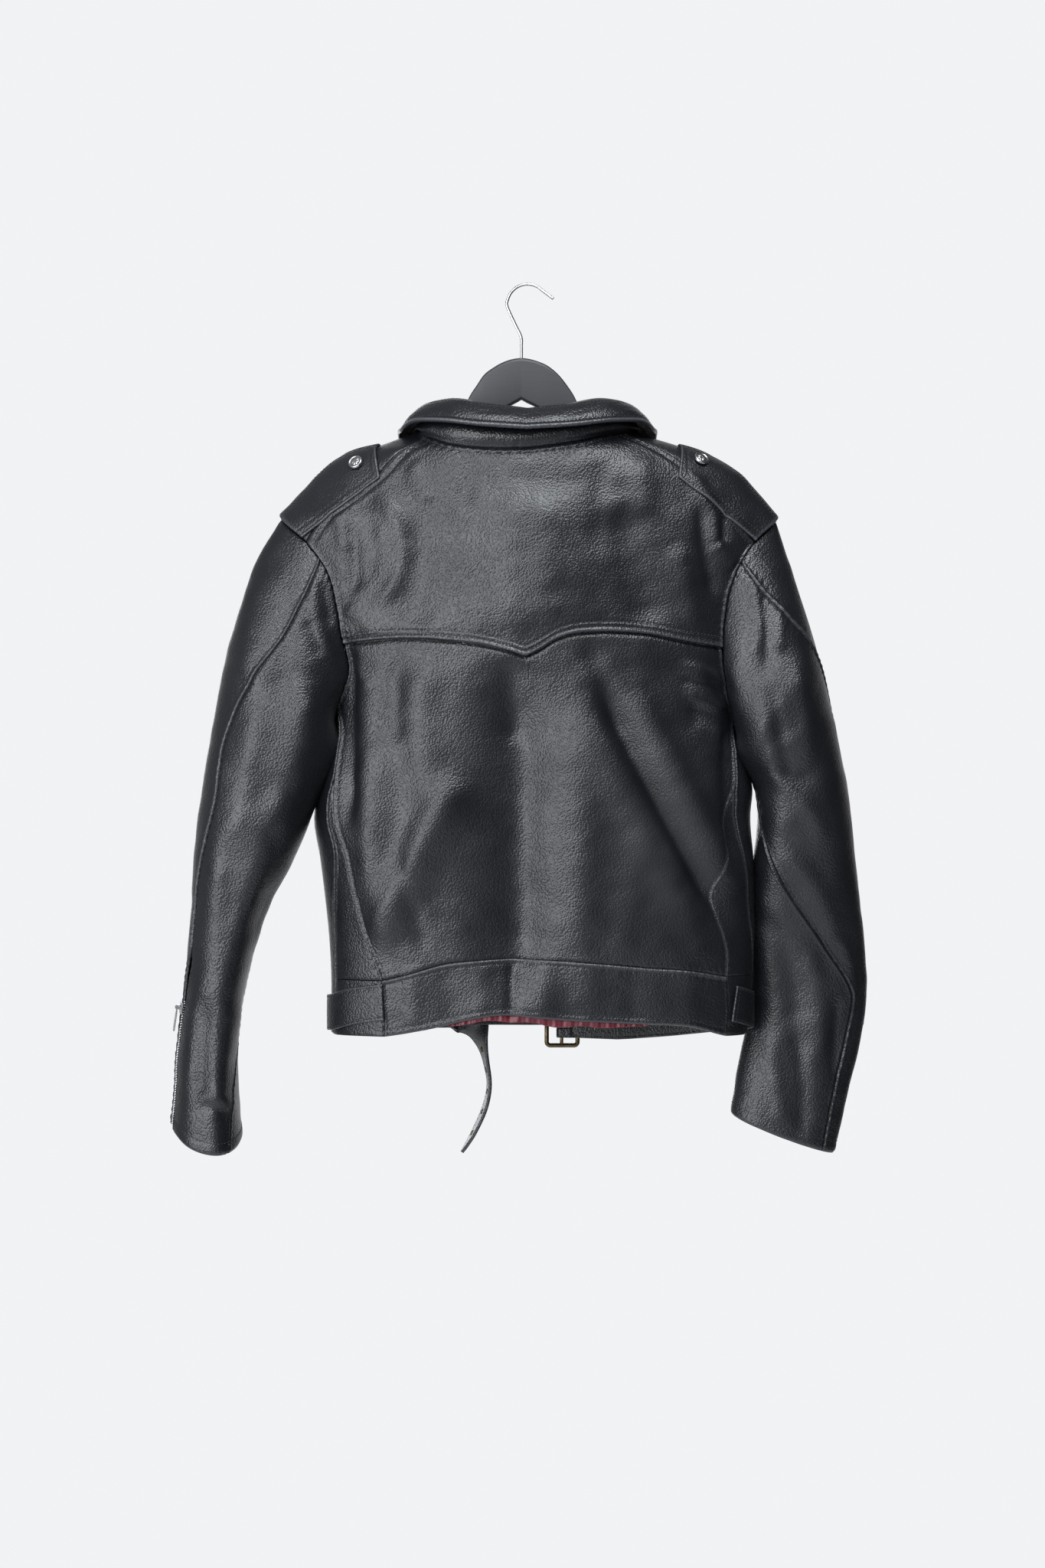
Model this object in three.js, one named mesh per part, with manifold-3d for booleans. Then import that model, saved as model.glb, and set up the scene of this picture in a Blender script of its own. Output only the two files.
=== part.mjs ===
// Leather biker jacket, zipped low and empty, hanging on a flat wooden hanger.
//
// Millimetres, +Z up. The origin is the underside of the hanger hook's crown, where a rail
// or a wall hook holds it. The jacket's back faces -Y, its front +Y, its left sleeve -X.
//
// The body of the jacket is one smooth tube. A point of it is given by an angle and a height:
// 0 degrees is the centre of the back, -90 the left side, 90 the right side and 180 the front.
// Every panel of the body is a patch of that tube between its own seam lines, made into a wall.

import * as THREE from 'three';
import { mergeVertices } from 'three/addons/utils/BufferGeometryUtils.js';
import Module from 'manifold-3d';

const wasm = await Module();
wasm.setup();

// ---------------------------------------------------------------- driving dimensions

const HIDE = 2; // wall of the shell: hide and lining together
const SEAM = 0.45; // gap between two sewn pieces
const SLEEVE_SEAM = 1.1; // gap between a sleeve head and its armhole
const STRAP = 1.3; // clearance under a strap that lies on the shell
const BELT_WIDTH = 35;
const BELT_THICK = 3;
const CHAIN_WIDTH = 6; // zip teeth, closed
const CHAIN_THICK = 2.4;
const WIRE = 3; // hook wire diameter
const HOOK_RADIUS = 20; // of the wire's centre line round the crown
const WOOD_THICK = 12;
const HEM = -750; // lowest section of the body

// ---------------------------------------------------------------- tables and curves

const table = (columns, ...rows) => {
  const names = columns.split(' ');
  return rows.map((row) => Object.fromEntries(names.map((name, i) => [name, row[i]])));
};
const clamp = (x, low, high) => Math.min(high, Math.max(low, x));
const mix = (a, b, t) => a + (b - a) * t;
const ease = (t) => t * t * (3 - 2 * t);
const sin = (degrees) => Math.sin(THREE.MathUtils.degToRad(degrees));
const cos = (degrees) => Math.cos(THREE.MathUtils.degToRad(degrees));
const arcsin = (x) => THREE.MathUtils.radToDeg(Math.asin(clamp(x, -1, 1)));

// A smooth curve through a table: one column as a function of another.
function smooth(rows, key, column) {
  const sorted = [...rows].sort((a, b) => a[key] - b[key]);
  const xs = sorted.map((row) => row[key]);
  const ys = sorted.map((row) => row[column]);
  const last = xs.length - 1;
  const chord = (i) => (ys[i + 1] - ys[i]) / (xs[i + 1] - xs[i]);
  const slopes = xs.map((x, i) => {
    if (i === 0) return chord(0);
    if (i === last) return chord(last - 1);
    const before = x - xs[i - 1];
    const after = xs[i + 1] - x;
    return (chord(i - 1) * after + chord(i) * before) / (before + after);
  });
  return (x) => {
    const at = clamp(x, xs[0], xs[last]);
    let i = 0;
    while (i < last - 1 && at > xs[i + 1]) i += 1;
    const width = xs[i + 1] - xs[i];
    const t = (at - xs[i]) / width;
    const bend = t * (1 - t) * width * ((1 - t) * (slopes[i] - chord(i)) - t * (slopes[i + 1] - chord(i)));
    return mix(ys[i], ys[i + 1], t) + bend;
  };
}

// ---------------------------------------------------------------- the body as a tube

// Half widths to the left and right of the centre line, and depths behind and in front.
// A lens of 1 is an ellipse; more than 1 pinches the sides, as where a shoulder folds over.
const bodySections = table(
  'z left right back front lens square',
  [-130, 76, 76, 30, 24, 1.3, 0],
  [-141, 103, 101, 40, 30, 1.3, 0],
  [-149, 124, 122, 48, 35, 1.3, 0],
  [-156, 143, 145, 53, 38, 1.3, 0],
  [-163, 167, 165, 57, 40, 1.3, 0],
  [-172, 185, 184, 60, 42, 1.3, 0],
  [-186, 202, 206, 63, 44, 1.3, 0],
  [-200, 215, 219, 65, 46, 1.3, 0],
  [-215, 229, 232, 67, 47, 1.3, 0],
  [-230, 242, 243, 69, 48, 1.3, 0],
  [-250, 243, 246, 71, 49, 1.28, 0],
  [-280, 233, 240, 74, 50, 1.25, 0],
  [-310, 222, 230, 76, 51, 1.2, 0],
  [-350, 206, 217, 79, 52, 1.1, 0],
  [-390, 190, 205, 80, 53, 1, 0],
  [-430, 178, 196, 80, 54, 1, 0.1],
  [-460, 184, 207, 80, 54, 1, 0.2],
  [-490, 196, 220, 79, 55, 1, 0.25],
  [-520, 205, 217, 79, 55, 1, 0.25],
  [-560, 203, 215, 78, 55, 1, 0.25],
  [-600, 198, 213, 76, 54, 1, 0.25],
  [-640, 194, 212, 75, 53, 1, 0.25],
  [-680, 192, 212, 73, 52, 1, 0.25],
  [-715, 192, 211, 71, 51, 1, 0.25],
  [HEM, 191, 208, 69, 50, 1, 0.25],
);
const section = Object.fromEntries(
  ['left', 'right', 'back', 'front', 'lens', 'square'].map((name) => [name, smooth(bodySections, 'z', name)]),
);

// The largest folds of the back: from one point to another, half width and height in mm.
// A negative height is a valley.
const bodyFolds = table(
  'x0 z0 x1 z1 width height',
  [-15, -215, -15, -335, 42, 5], // full band down the middle of the yoke
  [-95, -230, -120, -330, 16, -3.5],
  [88, -235, 118, -325, 18, -3.5],
  [-152, -395, -150, -600, 14, 5], // ridge beside the left armhole
  [-70, -500, -140, -632, 15, 5], // slanting ridge, low on the left
  [-46, -515, -84, -648, 13, -5],
  [-20, -435, -16, -665, 12, -7], // deep trough left of the centre
  [24, -385, 26, -645, 26, 5.5], // full ridge right of the centre
  [84, -420, 186, -603, 15, -5.5], // long slanting trough on the right
  [158, -378, 186, -440, 12, 4],
  [120, -470, 186, -540, 16, 4],
);

function foldHeight(x, z) {
  let sum = 0;
  for (const fold of bodyFolds) {
    const [dx, dz] = [fold.x1 - fold.x0, fold.z1 - fold.z0];
    const length = dx * dx + dz * dz;
    const along = ((x - fold.x0) * dx + (z - fold.z0) * dz) / length;
    const across = ((x - fold.x0) * dz - (z - fold.z0) * dx) / Math.sqrt(length) / fold.width;
    const ends = ease(clamp((along + 0.15) / 0.3, 0, 1)) * ease(clamp((1.15 - along) / 0.3, 0, 1));
    sum += fold.height * Math.exp(-across * across) * ends;
  }
  return sum;
}

const middleY = (z) => -4 * ease(clamp((-230 - z) / 370, 0, 1));

// A point of the smooth body, from its angle and height.
function body(phi, z) {
  const left = section.left(z);
  const right = section.right(z);
  const [s, c] = [sin(phi), cos(phi)];
  const depth = c >= 0 ? section.back(z) : section.front(z);
  const swell = Math.abs(c) ** section.lens(z) * (1 + section.square(z) * s * s);
  const x = (right - left) / 2 + ((left + right) / 2) * s;
  const fold = c > 0 ? foldHeight(x, z) * ease(clamp(c * 2.2, 0, 1)) : 0;
  return new THREE.Vector3(x + s * fold, middleY(z) - Math.sign(c) * depth * swell - c * fold, z);
}

function bodyNormal(phi, z) {
  const across = body(phi + 1.5, z).sub(body(phi - 1.5, z));
  const up = body(phi, z + 3).sub(body(phi, z - 3));
  return across.cross(up).normalize();
}

const raised = (phi, z, lift) => body(phi, z).addScaledVector(bodyNormal(phi, z), lift);

// Angles of a point seen from behind, and of one seen from the front on its own side.
const reach = (x, z) => {
  const [left, right] = [section.left(z), section.right(z)];
  return (x - (right - left) / 2) / ((left + right) / 2);
};
const backAngle = (x, z) => arcsin(reach(x, z));
const frontAngle = (x, z, side) => side * 180 - arcsin(reach(x, z));

// ---------------------------------------------------------------- seam lines

// Armholes: a loop whose angle is 0 at the shoulder tip, 90 on the back, 180 at the armpit.
const armholes = { '-1': { middle: -328.5, half: 99.5 }, 1: { middle: -335.5, half: 104.5 } };
const armholeAngles = table(
  'turn phi',
  [-20, 76], [0, 90], [20, 76], [40, 63], [60, 57.5], [80, 57.5], [100, 61], [120, 67], [140, 76],
  [160, 84.5], [180, 90], [200, 84.5],
);
const armholeAngle = smooth(armholeAngles, 'turn', 'phi');

function armhole(side, turn) {
  const whole = ((turn % 360) + 360) % 360;
  const { middle, half } = armholes[side];
  const flat = armholeAngle(whole > 180 ? 360 - whole : whole);
  return [side * (whole > 180 ? 180 - flat : flat), middle + half * cos(whole)];
}

const armholeTurn = (side, z) =>
  90 - arcsin((z - armholes[side].middle) / armholes[side].half);

// Neck seam: height by angle, the same round both sides.
const neckLine = table(
  'phi z',
  [-158, -170], [-150, -164], [-130, -152], [-105, -142], [-90, -140], [-75, -141.5], [-53, -149],
  [-40, -154], [-30, -158.5], [-20, -161.5], [-10, -163.3], [0, -162.8], [10, -159.5], [20, -155.5],
  [30, -151.5], [40, -148.5], [57, -145.5], [75, -141.5], [90, -140], [105, -142], [130, -152],
  [150, -164], [158, -170],
);
const neckHeight = smooth(neckLine, 'phi', 'z');
const NECK_FRONT = 158;

const shoulderLine = table(
  'z left right',
  [-146, 54, 56.5], [-157, 49, 53.5], [-165, 46.5, 52.7], [-181, 45.5, 52.1], [-198, 48, 52],
  [-215, 52, 52.7], [-233, 57, 56.2], [-253, 63.2, 63.2],
);
const sideBackLine = table(
  'z left right',
  [-413, 79.7, 83], [-426, 77.6, 80.7], [-440, 75, 78.6], [-456, 72.6, 76.5], [-470, 70.5, 73.4],
  [-497, 67, 67.6], [-525, 63.5, 63.8], [-556, 60.5, 61], [-590, 58.5, 58], [-621, 56, 59.4],
  [-650, 52.7, 63.8], [-678, 48.4, 65], [-742, 46.5, 65.5],
);
const sideLine = table(
  'z left right',
  [-480, 69.2, 66.6], [-497, 69.3, 68], [-519, 68, 69.4], [-556, 66.6, 71.4], [-574, 68.4, 72.4],
  [-616, 72.9, 75.4], [-655, 75.4, 82], [-742, 77, 84],
);
const sideName = (side) => (side < 0 ? 'left' : 'right');
const onLine = (rows, side) => {
  const angle = smooth(rows, 'z', sideName(side));
  return (z) => [side * angle(z), z];
};
const sideBack = { '-1': onLine(sideBackLine, -1), 1: onLine(sideBackLine, 1) };
const sideSeam = { '-1': onLine(sideLine, -1), 1: onLine(sideLine, 1) };
const shoulder = { '-1': onLine(shoulderLine, -1), 1: onLine(shoulderLine, 1) };
const SHOULDER_END = -253;
const GUSSET_TOP = { '-1': -480, 1: -494 };
const armTurns = {
  shoulder: { '-1': armholeTurn(-1, SHOULDER_END), 1: armholeTurn(1, SHOULDER_END) },
  yoke: { '-1': 103.7, 1: 101.3 },
  sideBack: { '-1': 148, 1: 150 },
};

// Lines across the back: the yoke's lower edge with its V, the waist seam and the hem.
const yokeLine = [
  table('x z', [-182, -352], [-148, -349], [-113, -348], [-81, -350], [-46, -354], [-17, -361], [-2, -366]),
  table('x z', [-2, -366], [10, -360], [26, -350], [39, -345], [61, -342], [93, -342], [120, -344],
    [146, -349], [191, -356]),
];
const waistLine = table(
  'x z',
  [-141, -678], [-110, -670], [-83, -662], [-50, -658], [-17, -656], [30, -658], [70, -661],
  [113, -665], [155, -668], [196, -675],
);
const hemLine = table(
  'x z',
  [-188, -738], [-136, -732], [-101, -726], [-58, -716], [-17, -711], [0, -713], [22, -715],
  [113, -720], [156, -723], [194, -733], [215, -737],
);
const frontHemLine = table(
  'x z',
  [-192, -738], [-98, -730], [-25, -727], [67, -730], [121, -740], [175, -744], [212, -739],
);
const ZIP_BREAK = { x: 40, z: -400 };
const zipLine = table('z x', [-400, 40], [-470, 33], [-560, 25], [-650, 20], [-735, 18]);
const zipX = smooth(zipLine, 'z', 'x');
const backSeamPoint = (line) => {
  const height = smooth(line, 'x', 'z');
  return (x) => [backAngle(x, height(x)), height(x)];
};
const yokeHalves = yokeLine.map(backSeamPoint);
const waistPoint = backSeamPoint(waistLine);
const hemPoint = backSeamPoint(hemLine);
const frontHemHeight = smooth(frontHemLine, 'x', 'z');
const frontPoint = (x, z, side) => [frontAngle(x, z, side), z];

// ---------------------------------------------------------------- meshes

const scene = new THREE.Group();

const finishes = {
  leather: { color: 0x1b1c1f, roughness: 0.45, metalness: 0 },
  lining: { color: 0x7c1420, roughness: 0.6, metalness: 0 },
  nickel: { color: 0x9a9a9c, roughness: 0.3, metalness: 1 },
  brass: { color: 0x6f6250, roughness: 0.35, metalness: 1 },
  teeth: { color: 0x55565a, roughness: 0.35, metalness: 1 },
  wood: { color: 0x17181a, roughness: 0.35, metalness: 0 },
  wire: { color: 0xc4c5c7, roughness: 0.2, metalness: 1 },
};

function add(name, finish, geometry, matrix) {
  const mesh = new THREE.Mesh(geometry, new THREE.MeshStandardMaterial(finishes[finish]));
  mesh.name = name;
  if (matrix) mesh.applyMatrix4(matrix);
  scene.add(mesh);
  return mesh;
}

// Closed geometry from shared points and triangles, turned so that its faces point out.
function closed(points, triangles) {
  let volume = 0;
  for (let i = 0; i < triangles.length; i += 3) {
    const [a, b, c] = [points[triangles[i]], points[triangles[i + 1]], points[triangles[i + 2]]];
    volume += a.dot(b.clone().cross(c));
  }
  const order = volume > 0 ? triangles : [...triangles].reverse();
  const geometry = new THREE.BufferGeometry();
  geometry.setAttribute('position', new THREE.Float32BufferAttribute(points.flatMap((p) => p.toArray()), 3));
  geometry.setIndex(order);
  return geometry;
}

// A wall from a grid: at(u, v, side) gives its outer (0) and inner (1) points.
function wall(columns, rows, at) {
  const points = [];
  const triangles = [];
  const sheet = (columns + 1) * (rows + 1);
  const id = (i, j, side) => side * sheet + j * (columns + 1) + i;
  const quad = (a, b, c, d) => triangles.push(a, b, c, a, c, d);
  for (const side of [0, 1]) {
    for (let j = 0; j <= rows; j += 1) {
      for (let i = 0; i <= columns; i += 1) points.push(at(i / columns, j / rows, side));
    }
  }
  for (let j = 0; j < rows; j += 1) {
    for (let i = 0; i < columns; i += 1) {
      quad(id(i, j, 0), id(i + 1, j, 0), id(i + 1, j + 1, 0), id(i, j + 1, 0));
      quad(id(i, j, 1), id(i, j + 1, 1), id(i + 1, j + 1, 1), id(i + 1, j, 1));
    }
  }
  for (let i = 0; i < columns; i += 1) {
    quad(id(i, 0, 1), id(i + 1, 0, 1), id(i + 1, 0, 0), id(i, 0, 0));
    quad(id(i, rows, 0), id(i + 1, rows, 0), id(i + 1, rows, 1), id(i, rows, 1));
  }
  for (let j = 0; j < rows; j += 1) {
    quad(id(0, j, 0), id(0, j + 1, 0), id(0, j + 1, 1), id(0, j, 1));
    quad(id(columns, j, 1), id(columns, j + 1, 1), id(columns, j + 1, 0), id(columns, j, 0));
  }
  return closed(points, triangles);
}

// A bar from a row of equal rings, capped at its ends or, as a loop, joined end to start.
function loft(rings, loop = false) {
  const sides = rings[0].length;
  const points = rings.flat();
  const triangles = [];
  const spans = loop ? rings.length : rings.length - 1;
  for (let j = 0; j < spans; j += 1) {
    const [low, high] = [j * sides, ((j + 1) % rings.length) * sides];
    for (let i = 0; i < sides; i += 1) {
      const next = (i + 1) % sides;
      triangles.push(low + i, low + next, high + next, low + i, high + next, high + i);
    }
  }
  const end = (rings.length - 1) * sides;
  for (let i = 1; !loop && i < sides - 1; i += 1) {
    triangles.push(0, i + 1, i, end, end + i, end + i + 1);
  }
  return closed(points, triangles);
}

// manifold-3d joins pieces of one metal part.
function solid(geometry) {
  const bare = geometry.clone();
  bare.deleteAttribute('normal');
  bare.deleteAttribute('uv');
  const merged = mergeVertices(bare, 1e-4);
  return new wasm.Manifold(new wasm.Mesh({
    numProp: 3,
    vertProperties: new Float32Array(merged.attributes.position.array),
    triVerts: new Uint32Array(merged.index.array),
  }));
}

function geometryOf(manifold) {
  const mesh = manifold.getMesh();
  const geometry = new THREE.BufferGeometry();
  geometry.setAttribute('position', new THREE.BufferAttribute(new Float32Array(mesh.vertProperties), 3));
  geometry.setIndex(new THREE.BufferAttribute(new Uint32Array(mesh.triVerts), 1));
  return geometry;
}

const join = (...geometries) => geometryOf(geometries.map(solid).reduce((a, b) => a.add(b)));
const cut = (from, tool) => geometryOf(solid(from).subtract(solid(tool)));

// ---------------------------------------------------------------- panels of the body

// An edge of a panel: parts that follow each other, each with its own number of grid steps.
function edge(...parts) {
  const steps = parts.reduce((sum, [count]) => sum + count, 0);
  const at = (t) => {
    let left = t * steps;
    for (const [count, line] of parts) {
      if (left <= count + 1e-9) return line(clamp(left / count, 0, 1));
      left -= count;
    }
    return parts.at(-1)[1](1);
  };
  return { steps, at };
}

const between = (p, q) => (t) => [mix(p[0], q[0], t), mix(p[1], q[1], t)];

// A patch of (angle, height) between four edges, straight in between.
function patch({ left, right, top, bottom }) {
  return (u, v) => {
    const [l, r, t, b] = [left.at(v), right.at(v), top.at(u), bottom.at(u)];
    const [lt, rt, lb, rb] = [top.at(0), top.at(1), bottom.at(0), bottom.at(1)];
    return [0, 1].map((k) => mix(l[k], r[k], u) + mix(t[k], b[k], v)
      - mix(mix(lt[k], rt[k], u), mix(lb[k], rb[k], u), v));
  };
}

// The panel's wall: its own outline drawn in by half a seam gap on every side.
function panel(edges, { lift = 0, thick = HIDE, gap = SEAM / 2 } = {}) {
  const at = patch(edges);
  const place = (u, v) => body(...at(u, v));
  const span = (line) => {
    let length = 0;
    for (let k = 0; k < 6; k += 1) length += line(k / 6).distanceTo(line((k + 1) / 6));
    return Math.max(length, 2 * gap);
  };
  const inset = (t, length) => mix(gap / length, 1 - gap / length, t);
  return wall(edges.top.steps, edges.left.steps, (u, v, side) => {
    const width = span((t) => place(t, v));
    const height = span((t) => place(u, t));
    return raised(...at(inset(u, width), inset(v, height)), lift - side * thick);
  });
}

// An edge's line moved a little so that it ends exactly at given points.
const pinned = (line, start, end) => {
  const [a, b] = [line(0), line(1)];
  return (t) => line(t).map((value, k) => value + mix(start[k] - a[k], end[k] - b[k], t));
};

// Grid steps along the seams. Panels that share a seam share its steps, so their edges match.
const SHOULDER_STEPS = 8;
const NECK_STEPS = 10;
const YOKE_ROWS = 8;
const BACK_HALF = 13;
const ARM_ROWS = 3;
const ARM_TO_GUSSET = 2;
const GUSSET_ROWS = 7;
const BAND_ROWS = 2;

const armEdge = (side, from, to, steps) =>
  [steps, (t) => armhole(side, mix(armTurns[from][side], armTurns[to][side], t))];
const shoulderEdge = (side) => (t) => {
  const z = mix(SHOULDER_END, neckHeight(side * 54), t);
  const [phi] = shoulder[side](z);
  const [end] = armhole(side, armTurns.shoulder[side]);
  const miss = end - shoulder[side](SHOULDER_END)[0];
  return [phi + miss * (1 - t), z];
};
const neckCorner = (side) => shoulderEdge(side)(1);
const yokeCorner = { '-1': armhole(-1, armTurns.yoke[-1]), 1: armhole(1, armTurns.yoke[1]) };
const armFoot = { '-1': armhole(-1, armTurns.sideBack[-1]), 1: armhole(1, armTurns.sideBack[1]) };
const waistCorner = { '-1': waistPoint(-141), 1: waistPoint(193) };
const hemCorner = { '-1': hemPoint(-138), 1: hemPoint(193) };
const GUSSET_START = 14; // how far below its point a side panel begins to have width
const gussetStart = { '-1': GUSSET_TOP[-1] - GUSSET_START, 1: GUSSET_TOP[1] - GUSSET_START };

// The seam from the armhole's foot to the waist, shared by the back, the front and the gusset.
const upperSide = (side) => {
  const top = sideBack[side](GUSSET_TOP[side]);
  return pinned((t) => sideBack[side](mix(armFoot[side][1], top[1], t)), armFoot[side], top);
};
const gussetTip = (side) => (t) => sideBack[side](mix(GUSSET_TOP[side], gussetStart[side], t));
const lowerSide = (side) => {
  const top = sideBack[side](gussetStart[side]);
  return pinned((t) => sideBack[side](mix(top[1], waistCorner[side][1], t)), top, waistCorner[side]);
};

const YOKE_POINT = -2; // where the yoke's V hangs
const yokeBottom = edge(
  [BACK_HALF, pinned((t) => yokeHalves[0](mix(-182, YOKE_POINT, t)), yokeCorner[-1],
    yokeHalves[0](YOKE_POINT))],
  [BACK_HALF, pinned((t) => yokeHalves[1](mix(YOKE_POINT, 190, t)), yokeHalves[0](YOKE_POINT),
    yokeCorner[1])],
);
const neckBack = (t) => {
  const phi = mix(neckCorner(-1)[0], neckCorner(1)[0], t);
  return [phi, neckHeight(phi)];
};

add('back_yoke', 'leather', panel({
  top: edge(
    [SHOULDER_STEPS, shoulderEdge(-1)],
    [NECK_STEPS, pinned(neckBack, neckCorner(-1), neckCorner(1))],
    [SHOULDER_STEPS, (t) => shoulderEdge(1)(1 - t)],
  ),
  left: edge(armEdge(-1, 'shoulder', 'yoke', YOKE_ROWS)),
  right: edge(armEdge(1, 'shoulder', 'yoke', YOKE_ROWS)),
  bottom: yokeBottom,
}));

const backSide = (side) => edge(
  armEdge(side, 'yoke', 'sideBack', ARM_ROWS),
  [ARM_TO_GUSSET, upperSide(side)],
  [1, gussetTip(side)],
  [GUSSET_ROWS, lowerSide(side)],
);
const waistSeam = edge([2 * BACK_HALF, (t) => waistPoint(mix(-141, 193, t))]);
const bandEnd = (side) => edge([BAND_ROWS, between(waistCorner[side], hemCorner[side])]);

add('back_lower', 'leather', panel({
  top: yokeBottom,
  left: backSide(-1),
  right: backSide(1),
  bottom: waistSeam,
}));

add('waistband_back', 'leather', panel({
  top: waistSeam,
  left: bandEnd(-1),
  right: bandEnd(1),
  bottom: edge([2 * BACK_HALF, (t) => hemPoint(mix(-138, 193, t))]),
}));

for (const side of [-1, 1]) {
  const name = sideName(side);
  const waist = waistCorner[side][1];
  const hem = hemCorner[side][1];
  const outer = edge([GUSSET_ROWS, (t) => sideSeam[side](mix(gussetStart[side], waist, t))]);
  const inner = edge([GUSSET_ROWS, lowerSide(side)]);
  const [low, high] = side < 0 ? [outer, inner] : [inner, outer];
  add(`side_panel_${name}`, 'leather', panel({
    left: low,
    right: high,
    top: edge([3, between(low.at(0), high.at(0))]),
    bottom: edge([3, between(low.at(1), high.at(1))]),
  }));
  const bandOuter = edge([BAND_ROWS, (t) => sideSeam[side](mix(waist, hem, t))]);
  const bandInner = bandEnd(side);
  const [bandLow, bandHigh] = side < 0 ? [bandOuter, bandInner] : [bandInner, bandOuter];
  add(`side_band_${name}`, 'leather', panel({
    left: bandLow,
    right: bandHigh,
    top: edge([3, between(bandLow.at(0), bandHigh.at(0))]),
    bottom: edge([3, between(bandLow.at(1), bandHigh.at(1))]),
  }));
}

// Fronts: from the shoulder seam round the armhole and down the side, to the neck, the fold of
// the lapel and the zip.
const CHAIN_HALF = CHAIN_WIDTH / 2 + 0.5;

for (const side of [-1, 1]) {
  const waistZ = waistCorner[side][1];
  const hemZ = hemCorner[side][1];
  const from = armTurns.shoulder[side];
  const to = armTurns.sideBack[side] - 360;
  const gusset = sideSeam[side](gussetStart[side]);
  const zipEdge = (z) => frontPoint(zipX(z) + side * CHAIN_HALF, z, side);
  const zipFoot = frontHemHeight(18);
  const outer = edge(
    [16, (t) => armhole(side, mix(from, to, t))],
    [ARM_TO_GUSSET, upperSide(side)],
    [1, between(sideBack[side](GUSSET_TOP[side]), gusset)],
    [GUSSET_ROWS, (t) => sideSeam[side](mix(gusset[1], waistZ, t))],
    [BAND_ROWS, (t) => sideSeam[side](mix(waistZ, hemZ, t))],
  );
  const inner = edge(
    [7, (t) => {
      const phi = mix(neckCorner(side)[0], side * NECK_FRONT, t);
      return [phi, neckHeight(phi)];
    }],
    [8, between([side * NECK_FRONT, neckHeight(side * NECK_FRONT)], zipEdge(ZIP_BREAK.z))],
    [13, (t) => zipEdge(mix(ZIP_BREAK.z, zipFoot, t))],
  );
  const top = edge([SHOULDER_STEPS, shoulderEdge(side)]);
  const bottom = edge([SHOULDER_STEPS, (t) => {
    const [sidePhi] = outer.at(1);
    const [zipPhi] = inner.at(1);
    const phi = mix(sidePhi, zipPhi, t);
    return [phi, mix(hemZ, zipFoot, ease(clamp(t * 1.6, 0, 1)))];
  }]);
  add(`front_${sideName(side)}`, 'leather', panel({ left: outer, right: inner, top, bottom }));
}

// Lapels: the fronts' upper corners folded out, lying on them.
const LAPEL_OFF = 0.8;
const lapelTips = { '-1': [-130, -235], 1: [140, -215] };
for (const side of [-1, 1]) {
  const [tipX, tipZ] = lapelTips[side];
  const foldLine = between([side * 62, -182], [ZIP_BREAK.x + side * 8, -382]);
  const outLine = between([tipX, tipZ], [ZIP_BREAK.x + side * 16, -378]);
  const line = (f) => edge([8, (t) => frontPoint(...f(t), side)]);
  const [low, high] = [line(outLine), line(foldLine)];
  add(`lapel_${sideName(side)}`, 'leather', panel({
    left: low,
    right: high,
    top: edge([4, between(low.at(0), high.at(0))]),
    bottom: edge([4, between(low.at(1), high.at(1))]),
  }, { lift: LAPEL_OFF + HIDE }));
}

// Lining: a strip inside the back hem that hangs a little below it.
const LINING_TOP = -672;
const LINING_SHOWS = 6;
const LINING_OFF = 1.2;
const LINING_THICK = 1;
add('lining_back', 'lining', panel({
  top: edge([18, (t) => [backAngle(mix(-78, 118, t), LINING_TOP), LINING_TOP]]),
  bottom: edge([18, (t) => {
    const [phi, z] = hemPoint(mix(-78, 118, t));
    return [phi, z - LINING_SHOWS * sin(180 * t) ** 0.5];
  }]),
  left: edge([3, between([backAngle(-78, LINING_TOP), LINING_TOP], hemPoint(-78))]),
  right: edge([3, between([backAngle(118, LINING_TOP), LINING_TOP], hemPoint(118))]),
}, { lift: -HIDE - LINING_OFF, thick: LINING_THICK }));

// ---------------------------------------------------------------- sleeves

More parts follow.
